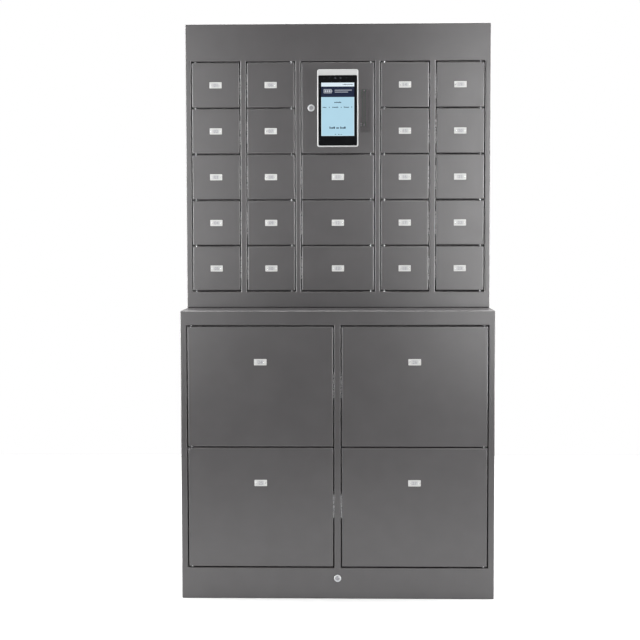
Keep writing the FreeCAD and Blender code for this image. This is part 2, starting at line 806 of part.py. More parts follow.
grille = terminal_leaf.newObject("PartDesign::LinearPattern", "grille")
grille.Originals = [grille_pocket]
grille.Direction = (grille_row, ["V_Axis"])
bind(grille, "Length", "(grille_rows - 1) * grille_pitch")
bind(grille, "Occurrences", "grille_rows")
terminal_leaf.Tip = grille
sub_part("terminal_door", put_at(terminal_leaf, TERMINAL_DOOR_LEFT, UPPER_FRONT, TERMINAL_DOOR_LOW))


# ---- payment terminal, clamped in the door's window ----

TERMINAL_X = "(%s + wide_door_width / 2)" % TERMINAL_DOOR_LEFT
TERMINAL_Z = "(%s + %s)" % (TERMINAL_DOOR_LOW, TERMINAL_MIDDLE)
TERMINAL_FRONT = "(%s - terminal_proud)" % UPPER_FRONT
GLASS_Z = "(%s - terminal_tall / 2 + glass_rise + glass_tall / 2)" % TERMINAL_Z


def centred_slab(name, width, depth, tall, y, z):
    return box(name, (width, depth, tall), ("%s - %s / 2" % (TERMINAL_X, width), y, "%s - %s / 2" % (z, tall)))


bezel_blank = centred_slab("bezel_blank", "terminal_width", "terminal_proud", "terminal_tall",
                           TERMINAL_FRONT, TERMINAL_Z)
bezel = rounded("bezel", bezel_blank, "terminal_radius")
core = centred_slab("terminal_core", CORE_WIDTH, "core_depth", CORE_TALL, UPPER_FRONT, TERMINAL_Z)
glass_blank = centred_slab("glass_blank", "glass_width", "glass_thickness", "glass_tall",
                           TERMINAL_FRONT, GLASS_Z)
glass = rounded("terminal_glass", glass_blank, "glass_radius")
sub_part("terminal_housing", cut("terminal_housing", fuse("terminal_case", [bezel, core]), [glass]))
sub_part("terminal_glass", glass)

STRAP_WIDTH = "(%s + 2 * sheet)" % CORE_WIDTH
STRAP_REAR = "(%s + core_depth)" % UPPER_FRONT
strap_back = centred_slab("strap_back", STRAP_WIDTH, "sheet", "strap_tall", STRAP_REAR, TERMINAL_Z)
strap_legs = [
    box("strap_leg_%d" % i, ("sheet", "core_depth - sheet", "strap_tall"),
        ("%s + %s" % (TERMINAL_X, leg_x), "%s + sheet" % UPPER_FRONT, "%s - strap_tall / 2" % TERMINAL_Z))
    for i, leg_x in enumerate(("-%s / 2 - sheet" % CORE_WIDTH, "%s / 2" % CORE_WIDTH), start=1)
]
strap_feet = [
    box("strap_foot_%d" % i, ("strap_foot", "sheet", "strap_tall"),
        ("%s + %s" % (TERMINAL_X, foot_x), "%s + sheet" % UPPER_FRONT, "%s - strap_tall / 2" % TERMINAL_Z))
    for i, foot_x in enumerate(("-%s / 2 - strap_foot" % CORE_WIDTH, "%s / 2" % CORE_WIDTH), start=1)
]
sub_part("terminal_strap", fuse("terminal_strap", [strap_back] + strap_legs + strap_feet))


# ---- key locks: a barrel with a collar, and the plug that the key turns in it ----

def lock_barrel(name, x, front, z):
    collar = cylinder(name + "_collar", "collar_lock_radius", "collar_lock_proud",
                      (x, "%s - collar_lock_proud" % front, z), FORWARD_ALONG_Y)
    shell = cylinder(name + "_shell", "barrel_radius", "barrel_depth", (x, front, z), FORWARD_ALONG_Y)
    length = "barrel_depth + collar_lock_proud + 2 * overshoot"
    bore = cylinder(name + "_bore", "plug_radius + plug_play", length,
                    (x, "%s - collar_lock_proud - overshoot" % front, z), FORWARD_ALONG_Y)
    return cut(name, fuse(name + "_blank", [collar, shell]), [bore])


def lock_plug(name, x, front, z):
    length = "barrel_depth + collar_lock_proud + plug_proud + plug_tail"
    plug = cylinder(name + "_core", "plug_radius", length,
                    (x, "%s - collar_lock_proud - plug_proud" % front, z), FORWARD_ALONG_Y)
    key_slot = box(name + "_key_slot", ("key_slot_width", "key_slot_depth + overshoot", "key_slot_tall"),
                   ("%s - key_slot_width / 2" % x, "%s - collar_lock_proud - plug_proud - overshoot" % front,
                    "%s - key_slot_tall / 2" % z))
    return cut(name, plug, [key_slot])


LOCK_X = "(%s + terminal_lock_inset)" % TERMINAL_DOOR_LEFT
sub_part("terminal_lock_barrel", lock_barrel("terminal_lock_barrel", LOCK_X, UPPER_FRONT, TERMINAL_LOCK_Z))
sub_part("terminal_lock_plug", lock_plug("terminal_lock_plug", LOCK_X, UPPER_FRONT, TERMINAL_LOCK_Z))
sub_part("terminal_lock_cam", box(
    "terminal_lock_cam", ("cam_width", "cam_thickness", "cam_length + cam_width / 2"),
    ("%s - cam_width / 2" % LOCK_X, CAM_FRONT, "%s - cam_length" % TERMINAL_LOCK_Z)))
sub_part("service_lock_barrel", lock_barrel("service_lock_barrel", "0", LOWER_FRONT, "service_lock_rise"))
service_plug = lock_plug("service_plug", "0", LOWER_FRONT, "service_lock_rise")
rotor = box("service_rotor", ("cam_width", "2 * cam_thickness", "cam_width"),
            ("-cam_width / 2", "%s + barrel_depth + plug_tail" % LOWER_FRONT,
             "service_lock_rise - cam_width / 2"))
sub_part("service_lock_plug", fuse("service_lock_plug", [service_plug, rotor]))


# ---- power and control parts ----

BAY_SHELF_TOP = "(%s + 3 * %s + (door_gap + shelf_thickness) / 2)" % (UPPER_SILL_TOP, UPPER_PITCH)
SUPPLY_FRONT = "(%s - supply_depth - supply_clearance)" % LINER
supply_case = box("supply_case", ("supply_width", "supply_depth", "supply_tall"),
                  ("-supply_width / 2", SUPPLY_FRONT, BAY_SHELF_TOP))
supply_step = box("supply_step", ("supply_step_width", "supply_depth", "supply_tall"),
                  ("supply_width / 2 - supply_step_width", SUPPLY_FRONT,
                   "%s + supply_step_rise" % BAY_SHELF_TOP))
sub_part("power_supply", cut("power_supply", supply_case, [supply_step]))

BOARD_LOW = "(%s + board_rise)" % BAY_SHELF_TOP
BOARD_BACK = "(%s - board_standoff)" % LINER
BOARD_FRONT = "(%s - board_thickness)" % BOARD_BACK
board = box("board", ("board_width", "board_thickness", "board_tall"),
            ("-board_width / 2", BOARD_FRONT, BOARD_LOW))
standoffs = [
    cylinder("standoff_%s_%d" % (name, level), "standoff_radius", "board_standoff",
             ("%s * (board_width / 2 - board_margin)" % side, BOARD_BACK,
              "%s + board_margin + %d * (board_tall - 2 * board_margin)" % (BOARD_LOW, level)), FORWARD_ALONG_Y)
    for name, side in (("left", "-1"), ("right", "1")) for level in (0, 1)
]
relays = [
    box("relay_%d" % i, ("relay_width", "relay_depth", "relay_tall"),
        ("-board_width / 2 + 2 * board_margin + %d * relay_pitch" % i, "%s - relay_depth" % BOARD_FRONT,
         "%s + 2 * board_margin" % BOARD_LOW))
    for i in range(int(table.get("relay_count")))
]
processor = box("processor", ("processor_width", "processor_depth", "processor_width"),
                ("-processor_width / 2", "%s - processor_depth" % BOARD_FRONT,
                 "%s + board_tall / 2" % BOARD_LOW))
sub_part("control_board", fuse("control_board", [board, processor] + standoffs + relays))

sub_part("charger_modules", group("charger_modules", [
    box("charger_" + name, ("charger_width", "charger_depth", "charger_tall"),
        ("%s * charger_pitch - charger_width / 2" % place, "%s - charger_depth - charger_clearance" % LINER,
         "%s + sheet" % UPPER_HEADER_LOW))
    for name, place in (("left", "-1"), ("middle", "0"), ("right", "1"))
]))


# ---- bolts that hold the two cabinets together ----

def joining_bolt(i, x, y):
    name = "bolt_%d" % i
    return fuse(name, [
        cylinder(name + "_head", "bolt_head_radius", "bolt_head_tall", (x, y, "lower_height + sheet")),
        cylinder(name + "_shank", "bolt_radius", "4 * bolt_head_tall",
                 (x, y, "lower_height - 3 * bolt_head_tall")),
        cylinder(name + "_nut", "bolt_head_radius", "bolt_head_tall",
                 (x, y, "lower_height - sheet - bolt_head_tall")),
    ])


sub_part("joining_bolts", group("joining_bolts", [
    joining_bolt(i, x, y) for i, (x, y) in enumerate(BOLT_PLACES, start=1)
]))


# ---- mains inlet in the lower back panel, with its mouth to the rear ----

inlet_flange = box("inlet_flange", ("inlet_width", "inlet_flange", "inlet_tall"),
                   ("inlet_x - inlet_width / 2", BACK, "inlet_z - inlet_tall / 2"))
inlet_case = box("inlet_case", ("inlet_body_width", "inlet_body_depth", "inlet_body_tall"),
                 ("inlet_x - inlet_body_width / 2", "%s - inlet_body_depth" % BACK,
                  "inlet_z - inlet_body_tall / 2"))
inlet_mouth = box("inlet_mouth", ("inlet_mouth_width", "inlet_mouth_depth + overshoot", "inlet_mouth_tall"),
                  ("inlet_x - inlet_mouth_width / 2", "%s + inlet_flange - inlet_mouth_depth" % BACK,
                   "inlet_z - inlet_mouth_tall / 2"))
inlet_pins = [
    box("inlet_pin_%d" % i, ("inlet_pin_width", "inlet_pin_length + inlet_pin_root", "inlet_pin_tall"),
        ("inlet_x - inlet_pin_width / 2 + %d * inlet_pin_pitch" % side,
         "%s + inlet_flange - inlet_mouth_depth - inlet_pin_root" % BACK,
         "inlet_z - inlet_pin_tall / 2 + %.1f * inlet_pin_stagger" % rise))
    for i, (side, rise) in enumerate(((-1, -0.5), (0, 0.5), (1, -0.5)), start=1)
]
inlet_shell = cut("inlet_shell", fuse("inlet_blank", [inlet_flange, inlet_case]), [inlet_mouth])
sub_part("mains_inlet", fuse("mains_inlet", [inlet_shell] + inlet_pins))


# ---- recompute, check and write ----

document.recompute()
for item in document.Objects:
    if "Invalid" in item.State or "Error" in item.State:
        raise RuntimeError("%s failed: %s" % (item.Label, item.State))
os.makedirs("parts", exist_ok=True)
for item in sub_parts:
    shape = item.Shape
    if shape.isNull() or not shape.isValid() or not shape.Solids:
        raise RuntimeError(item.Label + " has no valid shape")
    shape.exportStep("parts/%s.step" % item.Label)
    bounds = shape.BoundBox
    extent = (bounds.XMin, bounds.XMax, bounds.YMin, bounds.YMax, bounds.ZMin, bounds.ZMax)
    print("%-22s %3d solids " % (item.Label, len(shape.Solids)), *("%8.1f" % value for value in extent))
print(len(sub_parts), "sub-parts")
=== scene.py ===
import bmesh
import bpy
import json
import math
import numpy as np
from mathutils import Euler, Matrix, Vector
from mathutils.geometry import delaunay_2d_cdt


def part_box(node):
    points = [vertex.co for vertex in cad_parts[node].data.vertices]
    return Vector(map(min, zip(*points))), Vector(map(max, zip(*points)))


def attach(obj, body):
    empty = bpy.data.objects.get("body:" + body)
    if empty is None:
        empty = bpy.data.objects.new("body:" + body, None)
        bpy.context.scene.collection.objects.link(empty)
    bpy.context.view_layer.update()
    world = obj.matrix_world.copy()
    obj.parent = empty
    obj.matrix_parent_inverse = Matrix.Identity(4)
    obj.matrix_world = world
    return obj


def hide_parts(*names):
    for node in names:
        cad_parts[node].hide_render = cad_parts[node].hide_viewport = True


# Phone charging kiosk: two powder-coated cabinets of lockers, one on the other, with a payment terminal on
# a door of the upper one. Shapes are worked out in millimetres and written to the meshes in metres. An area
# is (x0, x1, z0, z1), a rectangle as it is seen from the front, and depths grow towards the back.

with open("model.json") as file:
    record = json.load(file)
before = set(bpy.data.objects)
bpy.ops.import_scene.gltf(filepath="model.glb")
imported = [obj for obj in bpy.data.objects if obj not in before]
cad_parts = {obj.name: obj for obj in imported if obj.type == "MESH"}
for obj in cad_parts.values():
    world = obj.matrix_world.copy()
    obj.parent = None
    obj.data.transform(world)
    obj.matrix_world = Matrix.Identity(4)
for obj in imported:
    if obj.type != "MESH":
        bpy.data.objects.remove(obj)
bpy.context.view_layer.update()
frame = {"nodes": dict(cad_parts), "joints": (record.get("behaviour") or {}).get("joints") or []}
metresPerMm = 0.001


def boxOf(node):
    low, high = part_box(node)
    return np.array(low) / metresPerMm, np.array(high) / metresPerMm


def faceArea(low, high):
    return low[0], high[0], low[2], high[2]


def areaAbout(x, z, width, tall):
    return x - width / 2, x + width / 2, z - tall / 2, z + tall / 2


print("frame loaded")

# A patch is (points, faces, curved): an array of points, a list of faces and, for each face, whether it is
# shaded smooth.


def arcLine(corners, steps=5):
    # A line through the corners, each (a, b, radius): where the radius isn't 0 the corner is an arc from
    # one tangent point to the other. Also says for each segment whether it belongs to an arc.
    points, curved = [], []
    for i, (a, b, radius) in enumerate(corners):
        here = np.array((a, b), float)
        if radius == 0:
            points.append(here[None])
            curved.append([False])
            continue
        before = np.array(corners[i - 1][:2]) - here
        after = np.array(corners[i + 1][:2]) - here
        before, after = before / np.linalg.norm(before), after / np.linalg.norm(after)
        half = math.acos(np.clip(before @ after, -1, 1)) / 2
        middle = here + (before + after) / np.linalg.norm(before + after) * radius / math.sin(half)
        start, end = here + before * radius / math.tan(half), here + after * radius / math.tan(half)
        turn = np.linspace(0, 1, steps + 1)[:, None]
        sweep = math.pi - 2 * half
        u, v = start - middle, end - middle
        arc = (np.sin((1 - turn) * sweep) * u + np.sin(turn * sweep) * v) / math.sin(sweep)
        points.append(middle + arc)
        curved.append([True] * steps + [False])
    return np.concatenate(points), sum(curved, [])[:-1]


def gridFaces(rows, columns, closed):
    # Four-sided faces of a grid of points numbered row by row; the last column joins the first if closed.
    across = columns if closed else columns - 1
    row, column = np.meshgrid(np.arange(rows - 1), np.arange(across), indexing="ij")
    a = row * columns + column
    b = row * columns + (column + 1) % columns
    return np.stack([a, b, b + columns, a + columns], -1).reshape(-1, 4)


def carryRound(area, corner, profile, steps=4):
    # A profile of (outward, depth) pairs carried round a rounded rectangle (x0, x1, z0, z1):
    # point = corner centre + (corner radius + outward) * (cos, sin), and where that radius would be less
    # than 0 the corner centre moves in along the diagonal instead, which makes a mitre.
    line, curved = arcLine(profile)
    x0, x1, z0, z1 = area
    quarter = np.linspace(0, math.pi / 2, steps + 1)
    angle = (quarter + np.arange(4)[:, None] * math.pi / 2).ravel()
    side = np.repeat(np.array([(1, 1), (-1, 1), (-1, -1), (1, -1)]), steps + 1, axis=0)
    corners = np.array([(x0 + x1) / 2, (z0 + z1) / 2]) + side * np.array([(x1 - x0) / 2, (z1 - z0) / 2])
    reach = corner + line[:, 0, None]
    radius, shift = np.maximum(reach, 0)[..., None], np.minimum(reach, 0)[..., None]
    flat = corners + side * (shift - corner) + radius * np.stack([np.cos(angle), np.sin(angle)], -1)
    depth = np.broadcast_to(line[:, 1, None], flat.shape[:2])
    points = np.stack([flat[..., 0], depth, flat[..., 1]], -1)
    faces = gridFaces(len(line), len(angle), True)
    alongCorner = np.tile(np.arange(len(angle)) % (steps + 1) < steps, len(line) - 1) & (corner > 0)
    return points.reshape(-1, 3), faces.tolist(), (np.repeat(curved, len(angle)) | alongCorner).tolist()


def loopOf(area, corner, outward, steps=4):
    # The closed line that carryRound makes of one profile point.
    points = carryRound(area, corner, [(outward, 0, 0), (outward, 1, 0)], steps)[0]
    return points[: len(points) // 2, [0, 2]]


def flatFace(depth, outline, holes=()):
    # A flat sheet at one depth inside an outline and outside its holes, in triangles between their points.
    loops = [outline, *holes]
    starts = np.cumsum([0] + [len(loop) for loop in loops])
    rings = [list(range(a, b)) for a, b in zip(starts, starts[1:])]
    insideOutline, nearness = 1, 1e-6
    made = delaunay_2d_cdt(np.concatenate(loops).tolist(), [], rings, insideOutline, nearness)
    points = np.array([(p[0], depth, p[1]) for p in made[0]])
    faces = [face for face, inside in zip(made[2], made[5]) if list(inside) == [0]]
    return points, faces, [False] * len(faces)


def turned(centre, profile, steps=32):
    # A profile of (radius, depth) pairs turned about a line that runs front to back:
    # point = centre + radius * (cos, sin) at that depth.
    line, curved = arcLine(profile)
    angle = np.linspace(0, 2 * math.pi, steps, endpoint=False)
    ring = np.stack([np.cos(angle), np.zeros(steps), np.sin(angle)], -1)
    points = line[:, 0, None, None] * ring + np.array([0, 1, 0]) * line[:, 1, None, None]
    points += np.array([centre[0], 0, centre[1]])
    faces = gridFaces(len(line), steps, True).tolist()
    return points.reshape(-1, 3), faces, [True] * len(faces)


def blockPatch(low, high):
    # The eight corners and six sides of a plain block.
    sign = np.array(np.meshgrid([0, 1], [0, 1], [0, 1], indexing="ij")).reshape(3, -1).T
    points = np.array(low) + sign * (np.array(high) - np.array(low))
    faces = [(0, 1, 3, 2), (4, 6, 7, 5), (0, 4, 5, 1), (2, 3, 7, 6), (0, 2, 6, 4), (1, 5, 7, 3)]
    return points, faces, [False] * 6


# How far past its eased edge a block's flat face begins.
easedHold = 0.4


def roundedBlock(area, face, root, corner, edge):
    # A block with a rounded outline whose edge is eased all round its outer face.
    hold = edge + easedHold
    outline = loopOf(area, corner, -hold)
    wall = carryRound(area, corner, [(-hold, face, 0), (0, face, edge), (0, root, 0)])
    return [wall, flatFace(face, outline), flatFace(root, loopOf(area, corner, 0))]


# Lengths in metres: points closer than the first are joined, edges shorter than the second are dissolved.
weldReach, slimEdge = 2e-6, 1e-7


def addMesh(name, patches):
    points = np.concatenate([patch[0] for patch in patches]) * metresPerMm
    starts = np.cumsum([0] + [len(patch[0]) for patch in patches])
    faces = [[start + i for i in face] for start, patch in zip(starts, patches) for face in patch[1]]
    mesh = bpy.data.meshes.new(name)
    mesh.from_pydata(points.tolist(), [], faces)
    mesh.polygons.foreach_set("use_smooth", sum((patch[2] for patch in patches), []))
    shell = bmesh.new()
    shell.from_mesh(mesh)
    bmesh.ops.remove_doubles(shell, verts=shell.verts, dist=weldReach)
    bmesh.ops.dissolve_degenerate(shell, edges=shell.edges, dist=slimEdge)
    bmesh.ops.recalc_face_normals(shell, faces=shell.faces)
    shell.to_mesh(mesh)
    shell.free()
    made = bpy.data.objects.new(name, mesh)
    bpy.context.scene.collection.objects.link(made)
    return made


def place(made, body, material, replaced=()):
    made.data.materials.clear()
    made.data.materials.append(material)
    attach(made, body)
    if replaced:
        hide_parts(*replaced)
    return made


sharpBeyond = math.radians(40)


def cutOut(made, patches):
    # Takes the cutters away from a piece and keeps the result as its mesh.
    cutter = addMesh("cutter", patches)
    cutting = made.modifiers.new("cut", "BOOLEAN")
    cutting.operation, cutting.solver, cutting.object = "DIFFERENCE", "EXACT", cutter
    found = bpy.context.evaluated_depsgraph_get()
    found.update()
    mesh = bpy.data.meshes.new_from_object(made.evaluated_get(found))
    mesh.set_sharp_from_angle(angle=sharpBeyond)
    made.modifiers.clear()
    old, made.data = made.data, mesh
    bpy.data.meshes.remove(old)
    bpy.data.objects.remove(cutter)
    made.data.name = made.name
    return made


def linearColour(code):
    # sRGB hex to linear: c / 12.92 below 0.04045, else ((c + 0.055) / 1.055) to the power 2.4.
    c = np.array([int(code[i:i + 2], 16) for i in (1, 3, 5)]) / 255
    return (*np.where(c < 0.04045, c / 12.92, ((c + 0.055) / 1.055) ** 2.4).tolist(), 1.0)


def addNode(tree, kind, values=None, links=None, **settings):
    made = tree.nodes.new(kind)
    for name, value in settings.items():
        setattr(made, name, value)
    for name, value in (values or {}).items():
        made.inputs[name].default_value = value
    for name, source in (links or {}).items():
        tree.links.new(source, made.inputs[name])
    return made


def startFinish(name, **values):
    made = bpy.data.materials.new(name)
    made.use_nodes = True
    shader = made.node_tree.nodes["Principled BSDF"]
    for key, value in values.items():
        shader.inputs[key[0].upper() + key[1:].replace("_", " ")].default_value = value
    return made, made.node_tree, shader


def perMetre(sizeInMm):
    # Noise scale whose features are about that size.
    return 1 / (sizeInMm * metresPerMm)


# The part of a noise's range that is stretched over a ramp.
noiseLow, noiseHigh = 0.3, 0.7


def mottle(tree, shader, dark, light, sizeInMm, detail=3.0):
    # Colour that drifts between two shades over the given size.
    where = addNode(tree, "ShaderNodeTexCoord").outputs["Object"]
    noise = addNode(tree, "ShaderNodeTexNoise", {"Scale": perMetre(sizeInMm), "Detail": detail},
                    {"Vector": where})
    ramp = addNode(tree, "ShaderNodeValToRGB", links={"Fac": noise.outputs["Fac"]})
    for end, position, code in zip(ramp.color_ramp.elements, (noiseLow, noiseHigh), (dark, light)):
        end.position, end.color = position, linearColour(code)
    tree.links.new(ramp.outputs["Color"], shader.inputs["Base Color"])
    return where


def roughen(tree, shader, where, sizeInMm, low, high):
    # Roughness that drifts between two values over the given size.
    noise = addNode(tree, "ShaderNodeTexNoise", {"Scale": perMetre(sizeInMm), "Detail": 2.0},
                    {"Vector": where})
    spread = {"From Min": noiseLow, "From Max": noiseHigh, "To Min": low, "To Max": high}
    reach = addNode(tree, "ShaderNodeMapRange", spread, {"Value": noise.outputs["Fac"]})
    tree.links.new(reach.outputs["Result"], shader.inputs["Roughness"])


def dimple(tree, shader, where, layers):
    # Bumps laid one on another, each (size in mm, height in mm, strength).
    normal = None
    for sizeInMm, height, strength in layers:
        noise = addNode(tree, "ShaderNodeTexNoise", {"Scale": perMetre(sizeInMm), "Detail": 1.0},
                        {"Vector": where})
        links = {"Height": noise.outputs["Fac"]}
        if normal:
            links["Normal"] = normal
        values = {"Strength": strength, "Distance": height * metresPerMm}
        bump = addNode(tree, "ShaderNodeBump", values, links)
        normal = bump.outputs["Normal"]
    tree.links.new(normal, shader.inputs["Normal"])


# Satin polyester powder coat on sheet steel under a clear top coat: an even dark grey with a soft sheen
# that draws a bright line along each fold, a fine orange peel about 1.5 mm across, and the slow waves that
# folded sheet keeps, which break up its reflections.
powderCoat, tree, shader = startFinish("satinPowderCoat", roughness=0.3, IOR=1.5, coat_Weight=0.8,
                                       coat_Roughness=0.24)
where = mottle(tree, shader, "#363435", "#3A3839", 60)
roughen(tree, shader, where, 90, 0.28, 0.34)
dimple(tree, shader, where, [(160, 0.35, 1.0), (1.5, 0.008, 0.4)])

# The same coat where the spray gun reaches less, inside the lockers: drier and a little rougher.
innerCoat, tree, shader = startFinish("thinPowderCoat", roughness=0.55, IOR=1.5)
where = mottle(tree, shader, "#525153", "#5A595B", 40)
dimple(tree, shader, where, [(1.2, 0.02, 0.6)])

# Bright zinc plate on steel: pale, slightly blue, with a dull uneven shine.
zincPlate, tree, shader = startFinish("brightZincPlate", metallic=1.0, roughness=0.3)
where = mottle(tree, shader, "#B9BBBD", "#D2D3D4", 6)
roughen(tree, shader, where, 4, 0.22, 0.38)

# Satin chromium plate on die-cast zinc: a soft bright grey that spreads its highlights, with fine scuffs.
chromePlate, tree, shader = startFinish("satinChromePlate", metallic=1.0, roughness=0.38)
where = mottle(tree, shader, "#CACBCD", "#D4D5D7", 5)
roughen(tree, shader, where, 3, 0.34, 0.44)

# Nickel-plated brass plugs: a greyer metal, brushed dull by years of keys.
plugNickel, tree, shader = startFinish("dullNickelPlate", metallic=1.0, roughness=0.42)
where = mottle(tree, shader, "#939496", "#9E9FA1", 3)
roughen(tree, shader, where, 2, 0.38, 0.5)

# Injection-moulded ABS with a spark-eroded grain: white, held down a little so that the side light still
# shows its shape.
whiteAbs, tree, shader = startFinish("whiteAbs", roughness=0.35, IOR=1.53)
where = mottle(tree, shader, "#A4A5A5", "#A9AAAA", 50)
dimple(tree, shader, where, [(0.9, 0.01, 0.4)])

# Moulded glass-filled nylon, black, with a fine matt grain.
blackNylon, tree, shader = startFinish("blackNylon", roughness=0.5, IOR=1.53)
where = mottle(tree, shader, "#18181A", "#222225", 8)
dimple(tree, shader, where, [(0.8, 0.02, 0.5)])

# Chemically strengthened cover glass, printed black behind: deep black with a sharp clear reflection.
coverGlass, tree, shader = startFinish("blackPrintedGlass", roughness=0.06, IOR=1.52)
where = mottle(tree, shader, "#050608", "#08090B", 30)
roughen(tree, shader, where, 25, 0.04, 0.09)

# Mill-finished aluminium sheet: soft grey metal with a fine rolled grain.
millAluminium, tree, shader = startFinish("millAluminium", metallic=1.0, roughness=0.42)
where = mottle(tree, shader, "#A9ABAD", "#BDBFC0", 3)
roughen(tree, shader, where, 5, 0.35, 0.5)

# Fibreglass board under green solder mask: glossy green, darker where there is no copper below.
solderMask, tree, shader = startFinish("greenSolderMask", roughness=0.25, IOR=1.5)
mottle(tree, shader, "#0E4A2C", "#1C6B40", 2.4, 0.0)

# White-stoved enamel on a thin steel plate: clean bright white with a low gloss.
whiteEnamel, tree, shader = startFinish("whiteEnamel", roughness=0.4, IOR=1.5)
where = mottle(tree, shader, "#B2B2B0", "#B8B8B6", 12)
dimple(tree, shader, where, [(1.0, 0.008, 0.4)])

# Printed label stock behind the plate's window: matt, a shade greyer than the enamel.
labelFilm, tree, shader = startFinish("labelFilm", roughness=0.6, IOR=1.47)
mottle(tree, shader, "#A3A4A5", "#ABACAD", 5)

# Grey printing ink, matt and slightly uneven.
greyInk, tree, shader = startFinish("greyInk", roughness=0.65, IOR=1.47)
mottle(tree, shader, "#7C7D81", "#85868A", 1.5)

print("finishes made")


cabinetSheet = {"thickness": 1.2, "fold": 3.0, "innerFold": 1.8, "hold": 4.4, "corner": 3.0, "gap": 3.0}


def columnOpenings(doorNodes):
    # Opening of each column of doors: their common box and the gap round it, as (x0, x1, z0, z1).
    columns = {}
    for node in doorNodes:
        low, high = boxOf(node)
        columns.setdefault(round(low[0]), []).append((low, high))
    gap = cabinetSheet["gap"]
    return [(min(low[0] for low, high in boxes) - gap, max(high[0] for low, high in boxes) + gap,
             min(low[2] for low, high in boxes) - gap, max(high[2] for low, high in boxes) + gap)
            for boxes in (columns[left] for left in sorted(columns))]


def cabinetSkin(name, area, front, back, flange, liner, openings, replaced):
    # An outer wall carried round the whole front, an inner wall carried round each opening as far as the
    # liner, and the front sheet between them.
    s = cabinetSheet
    sheet, fold, inner, hold = s["thickness"], s["fold"], s["innerFold"], s["hold"]
    outer = [(-hold, front, 0), (0, front, fold), (0, back, fold), (-flange, back, 0),
             (-flange, back - sheet, 0), (-sheet, back - sheet, inner), (-sheet, front + sheet, inner),
             (-hold, front + sheet, 0)]
    sleeve = [(hold, front, 0), (0, front, fold), (0, liner, 0), (sheet, liner, 0),
              (sheet, front + sheet, inner), (hold, front + sheet, 0)]
    patches = [carryRound(area, s["corner"], outer)]
    patches += [carryRound(opening, 0, sleeve) for opening in openings]
    outline = loopOf(area, s["corner"], -hold)
    holes = [loopOf(opening, 0, hold) for opening in openings]
    patches += [flatFace(depth, outline, holes) for depth in (front, front + sheet)]
    return place(addMesh(name, patches), "cabinet", powderCoat, replaced)


upperDoors = ["door_%02d" % i for i in range(1, 24)]
lowerDoors = ["door_%02d" % i for i in range(24, 28)]
sideLow, sideHigh = boxOf("upper_side_panels")
topHigh = boxOf("upper_top_panel")[1][2]
baseLow = boxOf("upper_base_panel")[0][2]
linerLow = boxOf("rear_liners")[0][1]
upperFront, backFace = sideLow[1], sideHigh[1]
lowerFront = boxOf("lower_side_panels")[0][1]
halfWidth = sideHigh[0]
upperOpenings = columnOpenings(upperDoors + ["terminal_door"])
lowerOpenings = columnOpenings(lowerDoors)
upperStile = upperOpenings[0][0] + halfWidth
lowerStile = lowerOpenings[0][0] + halfWidth

upperSkin = cabinetSkin(
    "upperCabinetSkin", (-halfWidth, halfWidth, baseLow, topHigh), upperFront, backFace, upperStile,
    linerLow, upperOpenings,
    ["upper_side_panels", "upper_dividers", "upper_sill_rail", "upper_header_rail", "upper_top_panel",
     "upper_base_panel"])
cabinetSkin(
    "lowerCabinetSkin", (-halfWidth, halfWidth, 0, baseLow), lowerFront, backFace, lowerStile,
    linerLow, lowerOpenings,
    ["lower_side_panels", "lower_divider", "lower_kick_rail", "lower_header_rail", "lower_top_panel",
     "lower_base_panel"])

# The slot through the locker wall that the terminal lock's cam turns into.
camSlot = {"behind": 2.0, "play": 1.0, "reach": 8.0, "sweep": 8.0, "drop": 24.0}
camLow, camHigh = boxOf("terminal_lock_cam")
barrelLow, barrelHigh = boxOf("terminal_lock_barrel")
lockX, lockZ = (barrelLow[0] + barrelHigh[0]) / 2, (barrelLow[2] + barrelHigh[2]) / 2
wallX = upperOpenings[2][0]
slotLow = (wallX - camSlot["reach"], camLow[1] - camSlot["play"], lockZ - camSlot["drop"])
slotHigh = (wallX + camSlot["behind"], camHigh[1] + camSlot["play"], lockZ + camSlot["sweep"])
cutOut(upperSkin, [blockPatch(slotLow, slotHigh)])

# The small tabs that the lowest upper doors close against; the shelves carry the others.
sillTab = {"width": 5.0, "inset": 17.0, "setback": 3.0, "reach": 21.0, "thickness": 1.5, "overlap": 0.1}
hingeSides = {joint["child"]: joint["pos_m"][0] / metresPerMm for joint in frame["joints"]}


def hingedLeft(node, area):
    return hingeSides[node] < (area[0] + area[1]) / 2


tabs = []
for opening, node in zip(upperOpenings, ("door_05", "door_10", "door_13", "door_18", "door_23")):
    t = sillTab
    centre = opening[1] - t["inset"] if hingedLeft(node, opening) else opening[0] + t["inset"]
    tabs.append(blockPatch((centre - t["width"] / 2, upperFront + t["setback"], opening[2] - t["overlap"]),
                           (centre + t["width"] / 2, upperFront + t["reach"], opening[2] + t["thickness"])))
place(addMesh("sillTabs", tabs), "cabinet", powderCoat)

print("cabinet skins made")

# How many flats go round a screw head, a small hole, and a can, a lens or an anchor hole.
screwSteps, holeSteps, canSteps = 20, 10, 24

backSheet = {"seam": 0.6, "corner": 1.0, "edge": 0.4, "hold": 1.2}
vents = {"width": 120.0, "tall": 4.0, "round": 1.99, "pitch": 12.0, "count": 9, "drop": 84.0,
         "spread": 440.0}
anchors = {"radius": 5.0, "x": 400.0, "z": (150.0, 850.0)}


def backPanel(name, low, high, stile, replaced):
    # A sheet with eased edges, carried round its own outline, and its two faces.
    b, sheet = backSheet, cabinetSheet["thickness"]
    inset = stile + b["seam"]
    area = (-halfWidth + inset, halfWidth - inset, low + inset, high - inset)
    rim = [(-b["hold"], backFace - sheet, 0), (0, backFace - sheet, 0), (0, backFace, b["edge"]),
           (-b["hold"], backFace, 0)]
    outline = loopOf(area, b["corner"], -b["hold"])
    patches = [carryRound(area, b["corner"], rim), flatFace(backFace, outline),
               flatFace(backFace - sheet, outline)]
    return place(addMesh(name, patches), "cabinet", powderCoat, replaced)


